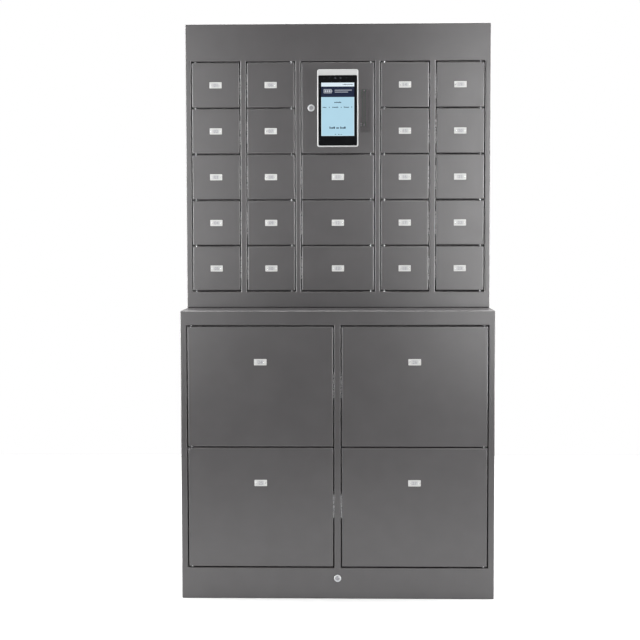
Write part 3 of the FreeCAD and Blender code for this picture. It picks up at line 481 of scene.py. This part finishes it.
def punch(radius, face, reach):
    # Profile of a round cutter that stands the same distance out on both sides of a sheet's face.
    near, far = face - reach, face + reach
    return [(0, near, 0), (radius, near, 0), (radius, far, 0), (0, far, 0)]


throughBack = 5.0
upperBack = backPanel("upperBackSheet", baseLow, topHigh, upperStile, ["upper_back_panel"])
ventCutters = []
for side in (-1, 1):
    for i in range(vents["count"]):
        x, z = side * vents["spread"] / 2, topHigh - vents["drop"] - i * vents["pitch"] + vents["tall"] / 2
        area = areaAbout(x, z, vents["width"], vents["tall"])
        outline = loopOf(area, vents["round"], 0)
        wall = [(0, backFace - throughBack, 0), (0, backFace + throughBack, 0)]
        ventCutters += [carryRound(area, vents["round"], wall), flatFace(backFace - throughBack, outline),
                        flatFace(backFace + throughBack, outline)]
cutOut(upperBack, ventCutters)

lowerBack = backPanel("lowerBackSheet", 0, baseLow, lowerStile, ["lower_back_panel"])
inletLow, inletHigh = boxOf("mains_inlet")
inletWindow = {"side": 9.5, "end": 1.5}
holes = [turned((side * anchors["x"], z), punch(anchors["radius"], backFace, throughBack), canSteps)
         for side in (-1, 1) for z in anchors["z"]]
w = inletWindow
holes.append(blockPatch((inletLow[0] + w["side"], backFace - throughBack, inletLow[2] + w["end"]),
                        (inletHigh[0] - w["side"], backFace + throughBack, inletHigh[2] - w["end"])))
cutOut(lowerBack, holes)

print("back panels made")

doorPan = {"depth": 16.0, "sheet": 1.2, "fold": 3.0, "innerFold": 1.8, "hold": 4.4, "corner": 3.0,
           "rimEdge": 0.4, "slot": 4.6, "slotDepth": 10.8, "slotTall": 3.0, "over": 1.0}


def pinNotches(area, front, pivotX):
    # The open slots in the top and bottom fold that the leaf drops onto its hinge pins by.
    d = doorPan
    half, over, tall = d["slot"] / 2, d["over"], d["slotTall"]
    return [blockPatch((pivotX - half, front - over, edge - below),
                       (pivotX + half, front + d["slotDepth"], edge + above))
            for edge, below, above in ((area[2], over, tall), (area[3], tall, over))]


def panPatches(area, front):
    # Front face, rolled edge, side wall and rim, then back up the inside: one profile round the leaf.
    d = doorPan
    rim = front + d["depth"]
    profile = [(-d["hold"], front, 0), (0, front, d["fold"]), (0, rim, d["rimEdge"]),
               (-d["sheet"], rim, d["rimEdge"]), (-d["sheet"], front + d["sheet"], d["innerFold"]),
               (-d["hold"], front + d["sheet"], 0)]
    outline = loopOf(area, d["corner"], -d["hold"])
    return [carryRound(area, d["corner"], profile), flatFace(front, outline),
            flatFace(front + d["sheet"], outline)]


# Number plate: a pressed plate with a rounded rim, a sunk label window and a domed screw at each end.
numberPlate = {"width": 40.0, "tall": 20.0, "thickness": 0.8, "corner": 1.5, "rimEdge": 0.35, "drop": 114.0,
               "window": (22.0, 14.0), "windowDepth": 0.4, "windowCorner": 1.0, "lip": 0.6, "lipEdge": 0.25,
               "screwInset": 5.0, "screwRadius": 2.6, "screwHead": 0.9, "digits": 10.5, "ink": 0.08}
labelSheet = {"play": 0.3, "corner": 0.8, "thickness": 0.1}


def platePatches(x, z, front):
    # The plate, then the label film in its window, then the depth of the film's face.
    p, label = numberPlate, labelSheet
    area, window = areaAbout(x, z, p["width"], p["tall"]), areaAbout(x, z, *p["window"])
    top, floor = front - p["thickness"], front - p["thickness"] + p["windowDepth"]
    outline = loopOf(area, p["corner"], -p["corner"])
    rim = [(-p["corner"], front, 0), (0, front, 0), (0, top, p["rimEdge"]), (-p["corner"], top, 0)]
    well = [(p["lip"], top, 0), (0, top, p["lipEdge"]), (0, floor, 0)]
    patches = [carryRound(area, p["corner"], rim), carryRound(window, p["windowCorner"], well),
               flatFace(top, outline, [loopOf(window, p["windowCorner"], p["lip"])]),
               flatFace(floor, loopOf(window, p["windowCorner"], 0)), flatFace(front, outline)]
    film = areaAbout(x, z, *(side - 2 * label["play"] for side in p["window"]))
    filmFace, filmOutline = floor - label["thickness"], loopOf(film, label["corner"], 0)
    filmPatches = [carryRound(film, label["corner"], [(0, floor, 0), (0, filmFace, 0)]),
                   flatFace(floor, filmOutline), flatFace(filmFace, filmOutline)]
    return patches, filmPatches, filmFace


# Half the section of a domed head as (radius, height, easing), in parts of the head's radius and height.
domedHead = [(0, 0, 0), (1, 0, 0), (1, 0.45, 0.12), (0.62, 0.95, 0.5), (0.2, 1, 0), (0, 1, 0)]


def screwPatches(x, z, base, radius, head):
    section = [(radius * out, base - head * up, radius * ease) for out, up, ease in domedHead]
    return turned((x, z), section, screwSteps)


sizePerDigit = 1.38


def textPatch(words, x, z, tall, depth, thickness):
    # Flat digits of the given height turned into a mesh, then centred and stood up facing the front.
    curve = bpy.data.curves.new("lettering", "FONT")
    curve.body, curve.size, curve.extrude = words, tall * sizePerDigit, thickness / 2
    curve.align_x, curve.resolution_u = "CENTER", 3
    holder = bpy.data.objects.new("lettering", curve)
    bpy.context.scene.collection.objects.link(holder)
    found = bpy.context.evaluated_depsgraph_get()
    found.update()
    mesh = bpy.data.meshes.new_from_object(holder.evaluated_get(found))
    flat = np.zeros(len(mesh.vertices) * 3)
    mesh.vertices.foreach_get("co", flat)
    flat = flat.reshape(-1, 3)
    centre = (flat.min(0) + flat.max(0)) / 2
    points = (flat - centre)[:, [0, 2, 1]] * np.array([1, -1, 1]) + np.array([x, depth - thickness / 2, z])
    faces = [list(face.vertices) for face in mesh.polygons]
    bpy.data.objects.remove(holder)
    bpy.data.curves.remove(curve)
    bpy.data.meshes.remove(mesh)
    return points, faces, [False] * len(faces)


# Pan-head screws that hold the two back sheets to the folds behind them.
backScrew = {"radius": 3.6, "head": 1.6, "inset": 9.0, "rows": 5}
heads = []
for low, high, stile in ((0, baseLow, lowerStile), (baseLow, topHigh, upperStile)):
    edge = stile + backSheet["seam"] + backScrew["inset"]
    for x in (edge - halfWidth, halfWidth - edge):
        for z in np.linspace(low + edge, high - edge, backScrew["rows"]):
            heads.append(screwPatches(x, z, backFace, backScrew["radius"], -backScrew["head"]))
place(addMesh("backScrews", heads), "cabinet", zincPlate)

# Steel keeper inside each leaf, at the latch side, with an eye for the lock's catch.
keeper = {"thickness": 2.0, "tall": 12.0, "reach": 34.0, "inset": 4.5, "eye": (10.0, 3.0), "eyeHalf": 3.0}


def keeperPatches(area, front, latchRight):
    # The blade in four blocks round its eye.
    k = keeper
    x = area[1] - k["inset"] if latchRight else area[0] + k["inset"]
    z, half, rise = (area[2] + area[3]) / 2, k["thickness"] / 2, k["tall"] / 2
    start, end = front + doorPan["sheet"], front + k["reach"]
    eye = [end - back for back in k["eye"]]
    return [blockPatch((x - half, near, z + low), (x + half, far, z + high))
            for near, far, low, high in ((start, eye[0], -rise, rise), (eye[1], end, -rise, rise),
                                         (*eye, k["eyeHalf"], rise), (*eye, -rise, -k["eyeHalf"]))]


for node in upperDoors + lowerDoors:
    number = int(node[-2:])
    low, high = boxOf(node)
    front = upperFront if node in upperDoors else lowerFront
    area = faceArea(low, high)
    middle = (low[0] + high[0]) / 2
    plateZ = (low[2] + high[2]) / 2 if node in upperDoors else high[2] - numberPlate["drop"]
    leaf = addMesh("leaf%02d" % number, panPatches(area, front))
    place(cutOut(leaf, pinNotches(area, front, hingeSides[node])), node, powderCoat, [node])
    plate, film, filmFace = platePatches(middle, plateZ, front)
    place(addMesh("plate%02d" % number, plate), node, whiteEnamel)
    place(addMesh("label%02d" % number, film), node, labelFilm)
    digits = textPatch("%02d" % number, middle, plateZ, numberPlate["digits"], filmFace, numberPlate["ink"])
    place(addMesh("number%02d" % number, [digits]), node, greyInk)
    offset = numberPlate["width"] / 2 - numberPlate["screwInset"]
    screws = [screwPatches(middle + side * offset, plateZ, front - numberPlate["thickness"],
                           numberPlate["screwRadius"], numberPlate["screwHead"]) for side in (-1, 1)]
    place(addMesh("plateScrews%02d" % number, screws), node, zincPlate)
    place(addMesh("keeper%02d" % number, keeperPatches(area, front, hingedLeft(node, area))), node,
          zincPlate)

print("doors made")

grille = {"radius": 1.6, "pitch": 5.6, "step": 4.85, "columns": 7, "rows": 25, "inset": 42.5,
          "rise": 70.0}
windowInset, lockHole, throughLeaf = 3.5, 9.5, 4.0
doorLow, doorHigh = boxOf("terminal_door")
terminalArea = faceArea(doorLow, doorHigh)
terminalLeaf = addMesh("terminalLeaf", panPatches(terminalArea, upperFront))
housingLow, housingHigh = boxOf("terminal_housing")
cutters = pinNotches(terminalArea, upperFront, hingeSides["terminal_door"])
windowPlay = np.array([windowInset, 0, windowInset])
windowLow = np.array([housingLow[0], upperFront - throughLeaf, housingLow[2]]) + windowPlay
windowHigh = np.array([housingHigh[0], upperFront + throughLeaf, housingHigh[2]]) - windowPlay
cutters.append(blockPatch(windowLow, windowHigh))
cutters.append(turned((lockX, lockZ), punch(lockHole, upperFront, throughLeaf)))
for column in range(grille["columns"]):
    for row in range(grille["rows"]):
        centre = (doorHigh[0] - grille["inset"] + column * grille["step"],
                  doorLow[2] + grille["rise"] + row * grille["pitch"] + (column % 2) * grille["pitch"] / 2)
        cutters.append(turned(centre, punch(grille["radius"], upperFront, throughLeaf), holeSteps))
cutOut(terminalLeaf, cutters)
place(terminalLeaf, "terminal_door", powderCoat, ["terminal_door"])

# Housing: a rounded bezel round the glass, the sunk seat that the glass lies in and a case behind the door.
housing = {"corner": 7.0, "edge": 1.8, "hold": 2.2, "core": 4.0, "caseHold": 9.0, "caseEdge": 2.0,
           "glassCorner": 4.0, "lip": 0.6, "lipEdge": 0.3, "play": 0.15, "cornerSteps": 6}
glassLow, glassHigh = boxOf("terminal_glass")
housingArea, glassArea = faceArea(housingLow, housingHigh), faceArea(glassLow, glassHigh)
faceY, seatY, caseBack = housingLow[1], glassHigh[1], housingHigh[1]
h = housing
bezel = [(-h["hold"], faceY, 0), (0, faceY, h["edge"]), (0, upperFront, 0), (-h["core"], upperFront, 0),
         (-h["core"], caseBack, h["caseEdge"]), (-h["caseHold"], caseBack, 0)]
seat = [(h["lip"], faceY, 0), (h["play"], faceY, h["lipEdge"]), (h["play"], seatY, 0)]
bezelLine = loopOf(housingArea, h["corner"], -h["hold"], h["cornerSteps"])
caseLine = loopOf(housingArea, h["corner"], -h["caseHold"], h["cornerSteps"])
patches = [carryRound(housingArea, h["corner"], bezel, h["cornerSteps"]),
           carryRound(glassArea, h["glassCorner"], seat),
           flatFace(faceY, bezelLine, [loopOf(glassArea, h["glassCorner"], h["lip"])]),
           flatFace(seatY, loopOf(glassArea, h["glassCorner"], h["play"])), flatFace(caseBack, caseLine)]
place(addMesh("terminalHousing", patches), "terminal_door", whiteAbs, ["terminal_housing"])

pane = {"hold": 1.5, "play": 0.05, "edge": 0.5, "sink": 0.05}
paneFace = faceY + pane["sink"]
glass = [(-pane["hold"], paneFace, 0), (-pane["play"], paneFace, pane["edge"]), (-pane["play"], seatY, 0),
         (-pane["hold"], seatY, 0)]
paneOutline = loopOf(glassArea, h["glassCorner"], -pane["hold"])
patches = [carryRound(glassArea, h["glassCorner"], glass), flatFace(paneFace, paneOutline),
           flatFace(seatY, paneOutline)]
place(addMesh("terminalGlass", patches), "terminal_door", coverGlass, ["terminal_glass"])

# Picture on the display, built up in thin layers: ground, bands and generic marks.
display = {"side": 9.7, "low": 31.5, "high": 24.0, "status": 12.5, "banner": 34.3, "layer": 0.03,
           "rim": 2.0, "foot": 1.5}


def screenFinish(name, code, glow, spread=0.04):
    # A lit liquid-crystal panel under glass: an even glow that drifts faintly, and the glass's sharp gloss.
    made, tree, shader = startFinish(name, roughness=0.08, IOR=1.52, emission_Strength=glow)
    where = addNode(tree, "ShaderNodeTexCoord").outputs["Object"]
    noise = addNode(tree, "ShaderNodeTexNoise", {"Scale": perMetre(40)}, {"Vector": where})
    ramp = addNode(tree, "ShaderNodeValToRGB", links={"Fac": noise.outputs["Fac"]})
    colour = np.array(linearColour(code))
    ramp.color_ramp.elements[0].color = (*(colour[:3] * (1 - spread)), 1)
    ramp.color_ramp.elements[1].color = (*np.minimum(colour[:3] * (1 + spread), 1), 1)
    tree.links.new(ramp.outputs["Color"], shader.inputs["Emission Color"])
    shader.inputs["Base Color"].default_value = linearColour("#0A0B0D")
    return made


print("terminal made")

displayArea = (glassLow[0] + display["side"], glassHigh[0] - display["side"],
               glassLow[2] + display["low"], glassHigh[2] - display["high"])
pictureTop, pictureLow = displayArea[3], displayArea[2]
bannerTop = pictureTop - display["status"]
bannerLow = bannerTop - display["banner"]
middleX = (displayArea[0] + displayArea[1]) / 2


def layerPatch(area, level, corner=0.0):
    # A thin rounded plate that stands its layer's height in front of the glass.
    depth, root = paneFace - level * display["layer"], paneFace + pane["sink"]
    outline = loopOf(area, corner, 0)
    return [carryRound(area, corner, [(0, root, 0), (0, depth, 0)]), flatFace(depth, outline),
            flatFace(root, outline)]


def screenLayer(name, patches, finish):
    return place(addMesh(name, patches), "terminal_door", finish)


# All in parts of the letter height, but the corner, which is a part of the stroke's shorter side.
strokes = {"least": 0.3, "widths": (0.35, 0.7), "heights": (0.7, 0.7, 1.0), "gap": 0.16, "corner": 0.25}


def wordMarks(x0, x1, z, tall, seed):
    # Stand-in for a word: short rounded strokes side by side, their widths and heights drawn from a seed.
    random = np.random.default_rng(seed)
    start, low, made = x0, z - tall / 2, []
    while start < x1 - tall * strokes["least"]:
        wide = min(tall * random.uniform(*strokes["widths"]), x1 - start)
        rise = tall * random.choice(strokes["heights"])
        corner = min(wide, rise) * strokes["corner"]
        made += layerPatch((start, start + wide, low, low + rise), 3, corner)
        start += wide + tall * strokes["gap"]
    return made


bodyBlue = screenFinish("skyBlueScreen", "#B9E0F2", 0.9)
marginBlue = screenFinish("paleBlueScreen", "#D2ECF8", 0.95)
statusPale = screenFinish("paleStatusScreen", "#E4F1FA", 0.95)
bannerNavy = screenFinish("navyScreen", "#1E2741", 0.8)
inkNavy = screenFinish("darkInkScreen", "#26364A", 0.8)
inkPale = screenFinish("paleInkScreen", "#C9CED8", 0.85)

x0, x1 = displayArea[:2]
screenLayer("screenMargin", layerPatch((x0, x1, pictureLow, bannerLow), 1), marginBlue)
bodyArea = (x0 + display["rim"], x1 - display["rim"], pictureLow + display["foot"], bannerLow)
screenLayer("screenBody", layerPatch(bodyArea, 2), bodyBlue)
screenLayer("screenStatus", layerPatch((x0, x1, bannerTop, pictureTop), 1), statusPale)
screenLayer("screenBanner", layerPatch((x0, x1, bannerLow, bannerTop), 1), bannerNavy)
screenWords = [
    # height of the line, letter height, stretches from left to right
    ((bannerTop + pictureTop) / 2, 2.6, [(16, 50)]),
    (bannerLow - 16.9, 4.6, [(-11, 12)]),
    (bannerLow - 32.7, 4.2, [(-49, -36), (-29, -25), (-18, 3), (10, 13), (20, 37), (45, 48)]),
    (pictureLow + 26.7, 7.0, [(-27, -8), (-4.5, 4), (8, 27)]),
    (pictureLow + 4.9, 2.4, [(-10, -5), (1, 6), (9, 14)]),
]
marks = []
for line, (height, tall, stretches) in enumerate(screenWords):
    for i, (start, end) in enumerate(stretches):
        marks += wordMarks(middleX + start, middleX + end, height, tall, 10 * line + i)
screenLayer("screenMarks", marks, inkNavy)

# On the banner: a generic battery outline with three cells, and two plain rules.
battery = {"x": (-46.0, -20.0), "tall": 13.0, "wall": 1.6, "corner": 2.0, "rise": 2.0,
           "tip": (1.8, 5.2), "tipGap": 0.2, "tipCorner": 0.4, "wellCorner": 1.0,
           "cell": (5.6, 7.2), "cells": (-43.0, -36.0, -29.0), "cellCorner": 0.6}
ruleLines, ruleCorner = [((-10.0, 46.0), (2.2, 4.2)), ((-10.0, 34.0), (-4.0, -2.0))], 0.9


def aboutBanner(x0, x1, low, high, level, corner):
    # A layer whose heights are measured from the middle of the banner.
    middle = (bannerLow + bannerTop) / 2 + battery["rise"]
    return layerPatch((middleX + x0, middleX + x1, middle + low, middle + high), level, corner)


k = battery
left, right = k["x"]
rise, tipRise, cellRise = k["tall"] / 2, k["tip"][1] / 2, k["cell"][1] / 2
icon = aboutBanner(left, right, -rise, rise, 2, k["corner"])
icon += aboutBanner(right + k["tipGap"], right + k["tip"][0], -tipRise, tipRise, 2, k["tipCorner"])
for x in k["cells"]:
    icon += aboutBanner(x, x + k["cell"][0], -cellRise, cellRise, 4, k["cellCorner"])
for (start, end), (low, high) in ruleLines:
    icon += aboutBanner(start, end, low, high, 2, ruleCorner)
batteryWell = aboutBanner(left + k["wall"], right - k["wall"], -rise + k["wall"], rise - k["wall"], 3,
                          k["wellCorner"])
screenLayer("bannerIcon", icon, inkPale)
screenLayer("bannerIconWell", batteryWell, bannerNavy)

# Sensor row above the display: two lenses and three dim windows, each a turned disc set in the glass.
lensGlass, tree, shader = startFinish("smokedLens", roughness=0.05, IOR=1.6)
mottle(tree, shader, "#1A1D24", "#262B36", 3)
sensors = {"drop": 8.9, "lenses": ((-8, 2.6), (9, 2.4)), "windows": ((-46, 1.4), (-28, 1.2), (28, 1.3)),
           "root": 0.3, "edge": 0.1,
           # ring and pupil from the rim inwards: radius in parts of the lens's, depth in mm, easing in mm
           "inner": ((0.72, -0.1, 0.1), (0.66, 0.02, 0), (0.3, -0.05, 0), (0, -0.06, 0))}
lensPatches = []
for x, radius in sensors["lenses"] + sensors["windows"]:
    section = [(0, sensors["root"], 0), (radius, sensors["root"], 0), (radius, 0, radius * sensors["edge"])]
    section += [(radius * out, depth, ease) for out, depth, ease in sensors["inner"]]
    section = [(out, faceY + depth, ease) for out, depth, ease in section]
    lensPatches.append(turned((middleX + x, glassHigh[2] - sensors["drop"]), section, canSteps))
place(addMesh("sensorLenses", lensPatches), "terminal_door", lensGlass)

print("display made")

keyLock = {"collar": 2.5, "brim": 0.6, "brimEdge": 0.9, "groove": 7.6, "slope": 0.5, "slopeEdge": 0.4,
           "sink": 1.0, "shank": 9.5, "shankEdge": 0.5, "plug": 6.2, "plugEdge": 0.5, "fit": 0.08,
           "play": 0.5, "slot": (2.2, 8.0), "slotDepth": 3.0, "over": 1.0, "rotorCorner": 2.0,
           "rotorEdge": 0.6, "collarSteps": 48, "plugSteps": 40}


def lockPieces(name, barrelNode, plugNode, barrelBody):
    # Collar: turned profile with a rolled outer edge, a flat band and a groove round the plug.
    low, high = boxOf(barrelNode)
    centre = ((low[0] + high[0]) / 2, (low[2] + high[2]) / 2)
    outer, face, tail = (high[0] - low[0]) / 2, low[1], high[1]
    k = keyLock
    seat, sunk, bore = face + k["collar"], face + k["sink"], k["plug"] + k["fit"]
    collar = [(bore, sunk, 0), (k["groove"], sunk, 0), (k["groove"] + k["slope"], face, k["slopeEdge"]),
              (outer - k["brim"], face, k["brimEdge"]), (outer, seat, 0), (k["shank"], seat, 0),
              (k["shank"], tail, k["shankEdge"]), (bore, tail, 0), (bore, sunk, 0)]
    made = addMesh(name + "Collar", [turned(centre, collar, k["collarSteps"])])
    place(made, barrelBody, chromePlate, [barrelNode])
    # Plug: a short round bar with the key's slot cut in its face.
    low, high = boxOf(plugNode)
    end = tail + k["play"]
    plug = [(0, low[1], 0), (k["plug"], low[1], k["plugEdge"]), (k["plug"], end, 0), (0, end, 0)]
    made = addMesh(name + "Plug", [turned(centre, plug, k["plugSteps"])])
    wide, tall = k["slot"]
    cutOut(made, [blockPatch((centre[0] - wide / 2, low[1] - k["over"], centre[1] - tall / 2),
                             (centre[0] + wide / 2, low[1] + k["slotDepth"], centre[1] + tall / 2))])
    place(made, plugNode, plugNickel, [plugNode])
    # Where the plug goes on behind its barrel, a switch rotor fills the rest of its box.
    if high[1] - end > k["play"]:
        rotor = roundedBlock(faceArea(low, high), high[1], end, k["rotorCorner"], k["rotorEdge"])
        place(addMesh(name + "Rotor", rotor), plugNode, plugNickel)


lockPieces("terminalLock", "terminal_lock_barrel", "terminal_lock_plug", "terminal_door")
lockPieces("serviceLock", "service_lock_barrel", "service_lock_plug", "cabinet")
print("locks made")

# Control board: the sheet on its standoffs, a row of relays over their terminal blocks, capacitors and
# chips. Sizes of its blocks are (width, depth, height).
controlBoard = {"standoff": 8.0, "sleeve": 3.0, "sheet": 1.6, "sheetEdge": 0.2, "corner": 3.0,
                "margin": 6.0, "relays": 8, "pitch": 21.0, "relay": (15.0, 15.0, 19.0),
                "terminal": (17.0, 10.0, 9.0), "terminalShift": 1.0, "terminalRise": 1.5,
                "chip": (30.0, 4.0, 30.0), "smallChip": (10.0, 1.8, 18.0), "smallChips": (-39.0, 25.0),
                "smallChipRise": 6.0,
                "can": (6.0, 14.0), "canEdge": 0.9, "cans": (-70.0, -52.0, 48.0, 66.0),
                "blockCorner": 0.8, "blockEdge": 0.5, "wireScrew": (2.2, 0.6), "cornerScrew": (3.0, 1.4)}
b = controlBoard
boardLow, boardHigh = boxOf("control_board")
boardBack = boardHigh[1] - b["standoff"]
boardFront = boardBack - b["sheet"]
sheet = roundedBlock(faceArea(boardLow, boardHigh), boardFront, boardBack, b["corner"], b["sheetEdge"])
place(addMesh("boardSheet", sheet), "cabinet", solderMask, ["control_board"])


def boardBlock(x, z, size):
    # A component whose lower left corner is given.
    width, depth, tall = size
    area = (x, x + width, z, z + tall)
    return roundedBlock(area, boardFront - depth, boardFront, b["blockCorner"], b["blockEdge"])


relays, terminals, posts, cans = [], [], [], []
for i in range(b["relays"]):
    x, (wide, depth, tall) = boardLow[0] + 2 * b["margin"] + i * b["pitch"], b["terminal"]
    left, low = x - b["terminalShift"], boardLow[2] + b["terminalRise"]
    relays += boardBlock(x, boardLow[2] + 2 * b["margin"], b["relay"])
    terminals += boardBlock(left, low, b["terminal"])
    posts.append(screwPatches(left + wide / 2, low + tall / 2, boardFront - depth, *b["wireScrew"]))
chipZ = (boardLow[2] + boardHigh[2]) / 2
relays += boardBlock(-b["chip"][0] / 2, chipZ, b["chip"])
for x in b["smallChips"]:
    relays += boardBlock(x, chipZ + b["smallChipRise"], b["smallChip"])
sleeve = [(0, boardHigh[1], 0), (b["sleeve"], boardHigh[1], 0), (b["sleeve"], boardBack, 0),
          (0, boardBack, 0)]
for x in (boardLow[0] + b["margin"], boardHigh[0] - b["margin"]):
    for z in (boardLow[2] + b["margin"], boardHigh[2] - b["margin"]):
        posts += [turned((x, z), sleeve, screwSteps), screwPatches(x, z, boardFront, *b["cornerScrew"])]
radius, tall = b["can"]
canWall = [(0, boardFront, 0), (radius, boardFront, 0), (radius, boardFront - tall, b["canEdge"]),
           (0, boardFront - tall, 0)]
for x in b["cans"]:
    cans.append(turned((x, boardHigh[2] - 3 * b["margin"]), canWall, canSteps))
place(addMesh("boardRelays", relays), "cabinet", blackNylon)
place(addMesh("boardTerminals", terminals), "cabinet", whiteAbs)
place(addMesh("boardPosts", posts), "cabinet", zincPlate)
place(addMesh("boardCapacitors", cans), "cabinet", millAluminium)
print("control board made")

# Power supply: a folded case with a stepped terminal end and a field of round vents in its front.
supply = {"corner": 2.0, "edge": 0.8, "step": (12.0, 18.0), "vent": 2.0, "pitch": 8.0, "rows": 5,
          "columns": 22, "margin": 16.0, "over": 1.0, "sheet": 1.5}
p = supply
supplyLow, supplyHigh = boxOf("power_supply")
case = roundedBlock(faceArea(supplyLow, supplyHigh), supplyLow[1], supplyHigh[1], p["corner"], p["edge"])
cutters = [blockPatch((supplyHigh[0] - p["step"][0], supplyLow[1] - p["over"], supplyLow[2] + p["step"][1]),
                      (supplyHigh[0] + p["over"], supplyHigh[1] + p["over"], supplyHigh[2] + p["over"]))]
ventWall = punch(p["vent"], supplyLow[1], p["sheet"])
for column in range(p["columns"]):
    for row in range(p["rows"]):
        x = supplyLow[0] + p["margin"] + column * p["pitch"]
        z = supplyLow[2] + (row + 1 + (column % 2) / 2) * p["pitch"]
        cutters.append(turned((x, z), ventWall, holeSteps))
place(cutOut(addMesh("supplyCase", case), cutters), "cabinet", millAluminium,
      ["power_supply"])
print("power supply made")

# Nodes that keep their own shape.
carried = {
    "shelves": innerCoat, "rear_liners": innerCoat, "hinge_pins": zincPlate, "electric_locks": zincPlate,
    "charging_ports": blackNylon, "joining_bolts": zincPlate, "terminal_lock_cam": zincPlate,
    "terminal_strap": innerCoat, "mains_inlet": blackNylon, "charger_modules": millAluminium,
}
for node, finish in carried.items():
    frame["nodes"][node].data.materials.clear()
    frame["nodes"][node].data.materials.append(finish)

floorPaper, tree, shader = startFinish("paleFloorPaint", roughness=0.7, IOR=1.5)
where = mottle(tree, shader, "#A9A9A9", "#ADADAD", 400)
half = 2600.0
corners = np.array([(-half, -half, 0), (half, -half, 0), (half, half, 0), (-half, half, 0)])
floor = addMesh("studioFloor", [(corners, [(0, 1, 2, 3)], [False])])
floor.data.materials.append(floorPaper)

world = bpy.data.worlds.new("studio")
bpy.context.scene.world = world
world.use_nodes = True
tree = world.node_tree
tree.nodes.clear()
# The room: a dark wall behind the camera, pale walls to the sides and above, and white where it is seen.
room = {"behind": 0.13, "around": 0.45, "from": -0.6, "to": -0.1}
facing = addNode(tree, "ShaderNodeTexCoord")
apart = addNode(tree, "ShaderNodeSeparateXYZ", links={"Vector": facing.outputs["Generated"]})
level = addNode(tree, "ShaderNodeMapRange", {"From Min": room["from"], "From Max": room["to"],
                                             "To Min": room["behind"], "To Max": room["around"]},
                {"Value": apart.outputs["Y"]}, interpolation_type="SMOOTHSTEP")
fill = addNode(tree, "ShaderNodeBackground", {"Color": (1.0, 0.985, 0.99, 1)},
               {"Strength": level.outputs["Result"]})
backdrop = addNode(tree, "ShaderNodeBackground", {"Color": (1, 1, 1, 1), "Strength": 1.0})
seen = addNode(tree, "ShaderNodeLightPath")
mixed = addNode(tree, "ShaderNodeMixShader", links={0: seen.outputs["Is Camera Ray"], 1: fill.outputs[0],
                                                   2: backdrop.outputs[0]})
addNode(tree, "ShaderNodeOutputWorld", links={"Surface": mixed.outputs[0]})

softLights = {
    # name: (place in metres, aimed at, width, height, power in watts, spread in degrees)
    "overhead": ((0.0, 1.7, 4.4), (0.0, 1.7, 0.0), 5.0, 5.0, 350.0, 100.0),
    "leftSide": ((-2.6, -0.45, 1.4), (0.0, -0.2, 1.3), 0.9, 2.2, 190.0, 180.0),
    "rightSide": ((2.6, -0.45, 1.4), (0.0, -0.2, 1.3), 0.9, 2.2, 205.0, 180.0),
    "leftFront": ((-1.6, -4.75, 1.5), (0.0, -0.1, 1.2), 1.4, 2.4, 40.0, 180.0),
    "rightFront": ((1.35, -4.75, 1.5), (0.0, -0.1, 1.2), 1.4, 2.4, 58.0, 180.0),
}
for name, (spot, target, width, height, power, spread) in softLights.items():
    data = bpy.data.lights.new(name, "AREA")
    data.shape, data.size, data.size_y, data.energy = "RECTANGLE", width, height, power
    data.spread = math.radians(spread)
    lamp = bpy.data.objects.new(name, data)
    bpy.context.scene.collection.objects.link(lamp)
    lamp.location = spot
    lamp.rotation_euler = (Vector(spot) - Vector(target)).to_track_quat("Z", "Y").to_euler()

bpy.context.scene.view_settings.view_transform = "Standard"

# Camera: its place in metres, its turn in degrees, focal length and sensor width in millimetres.
lens = {"place": (0.050, -4.547, 1.157), "turn": (86.523, 0.107, 1.393), "focal": 76.41, "sensor": 36.0}
cameraData = bpy.data.cameras.new("camera")
cameraData.lens, cameraData.sensor_width = lens["focal"], lens["sensor"]
camera = bpy.data.objects.new("camera", cameraData)
camera.location = lens["place"]
camera.rotation_euler = Euler([math.radians(angle) for angle in lens["turn"]])
bpy.context.scene.collection.objects.link(camera)
bpy.context.scene.camera = camera
print("stage set")
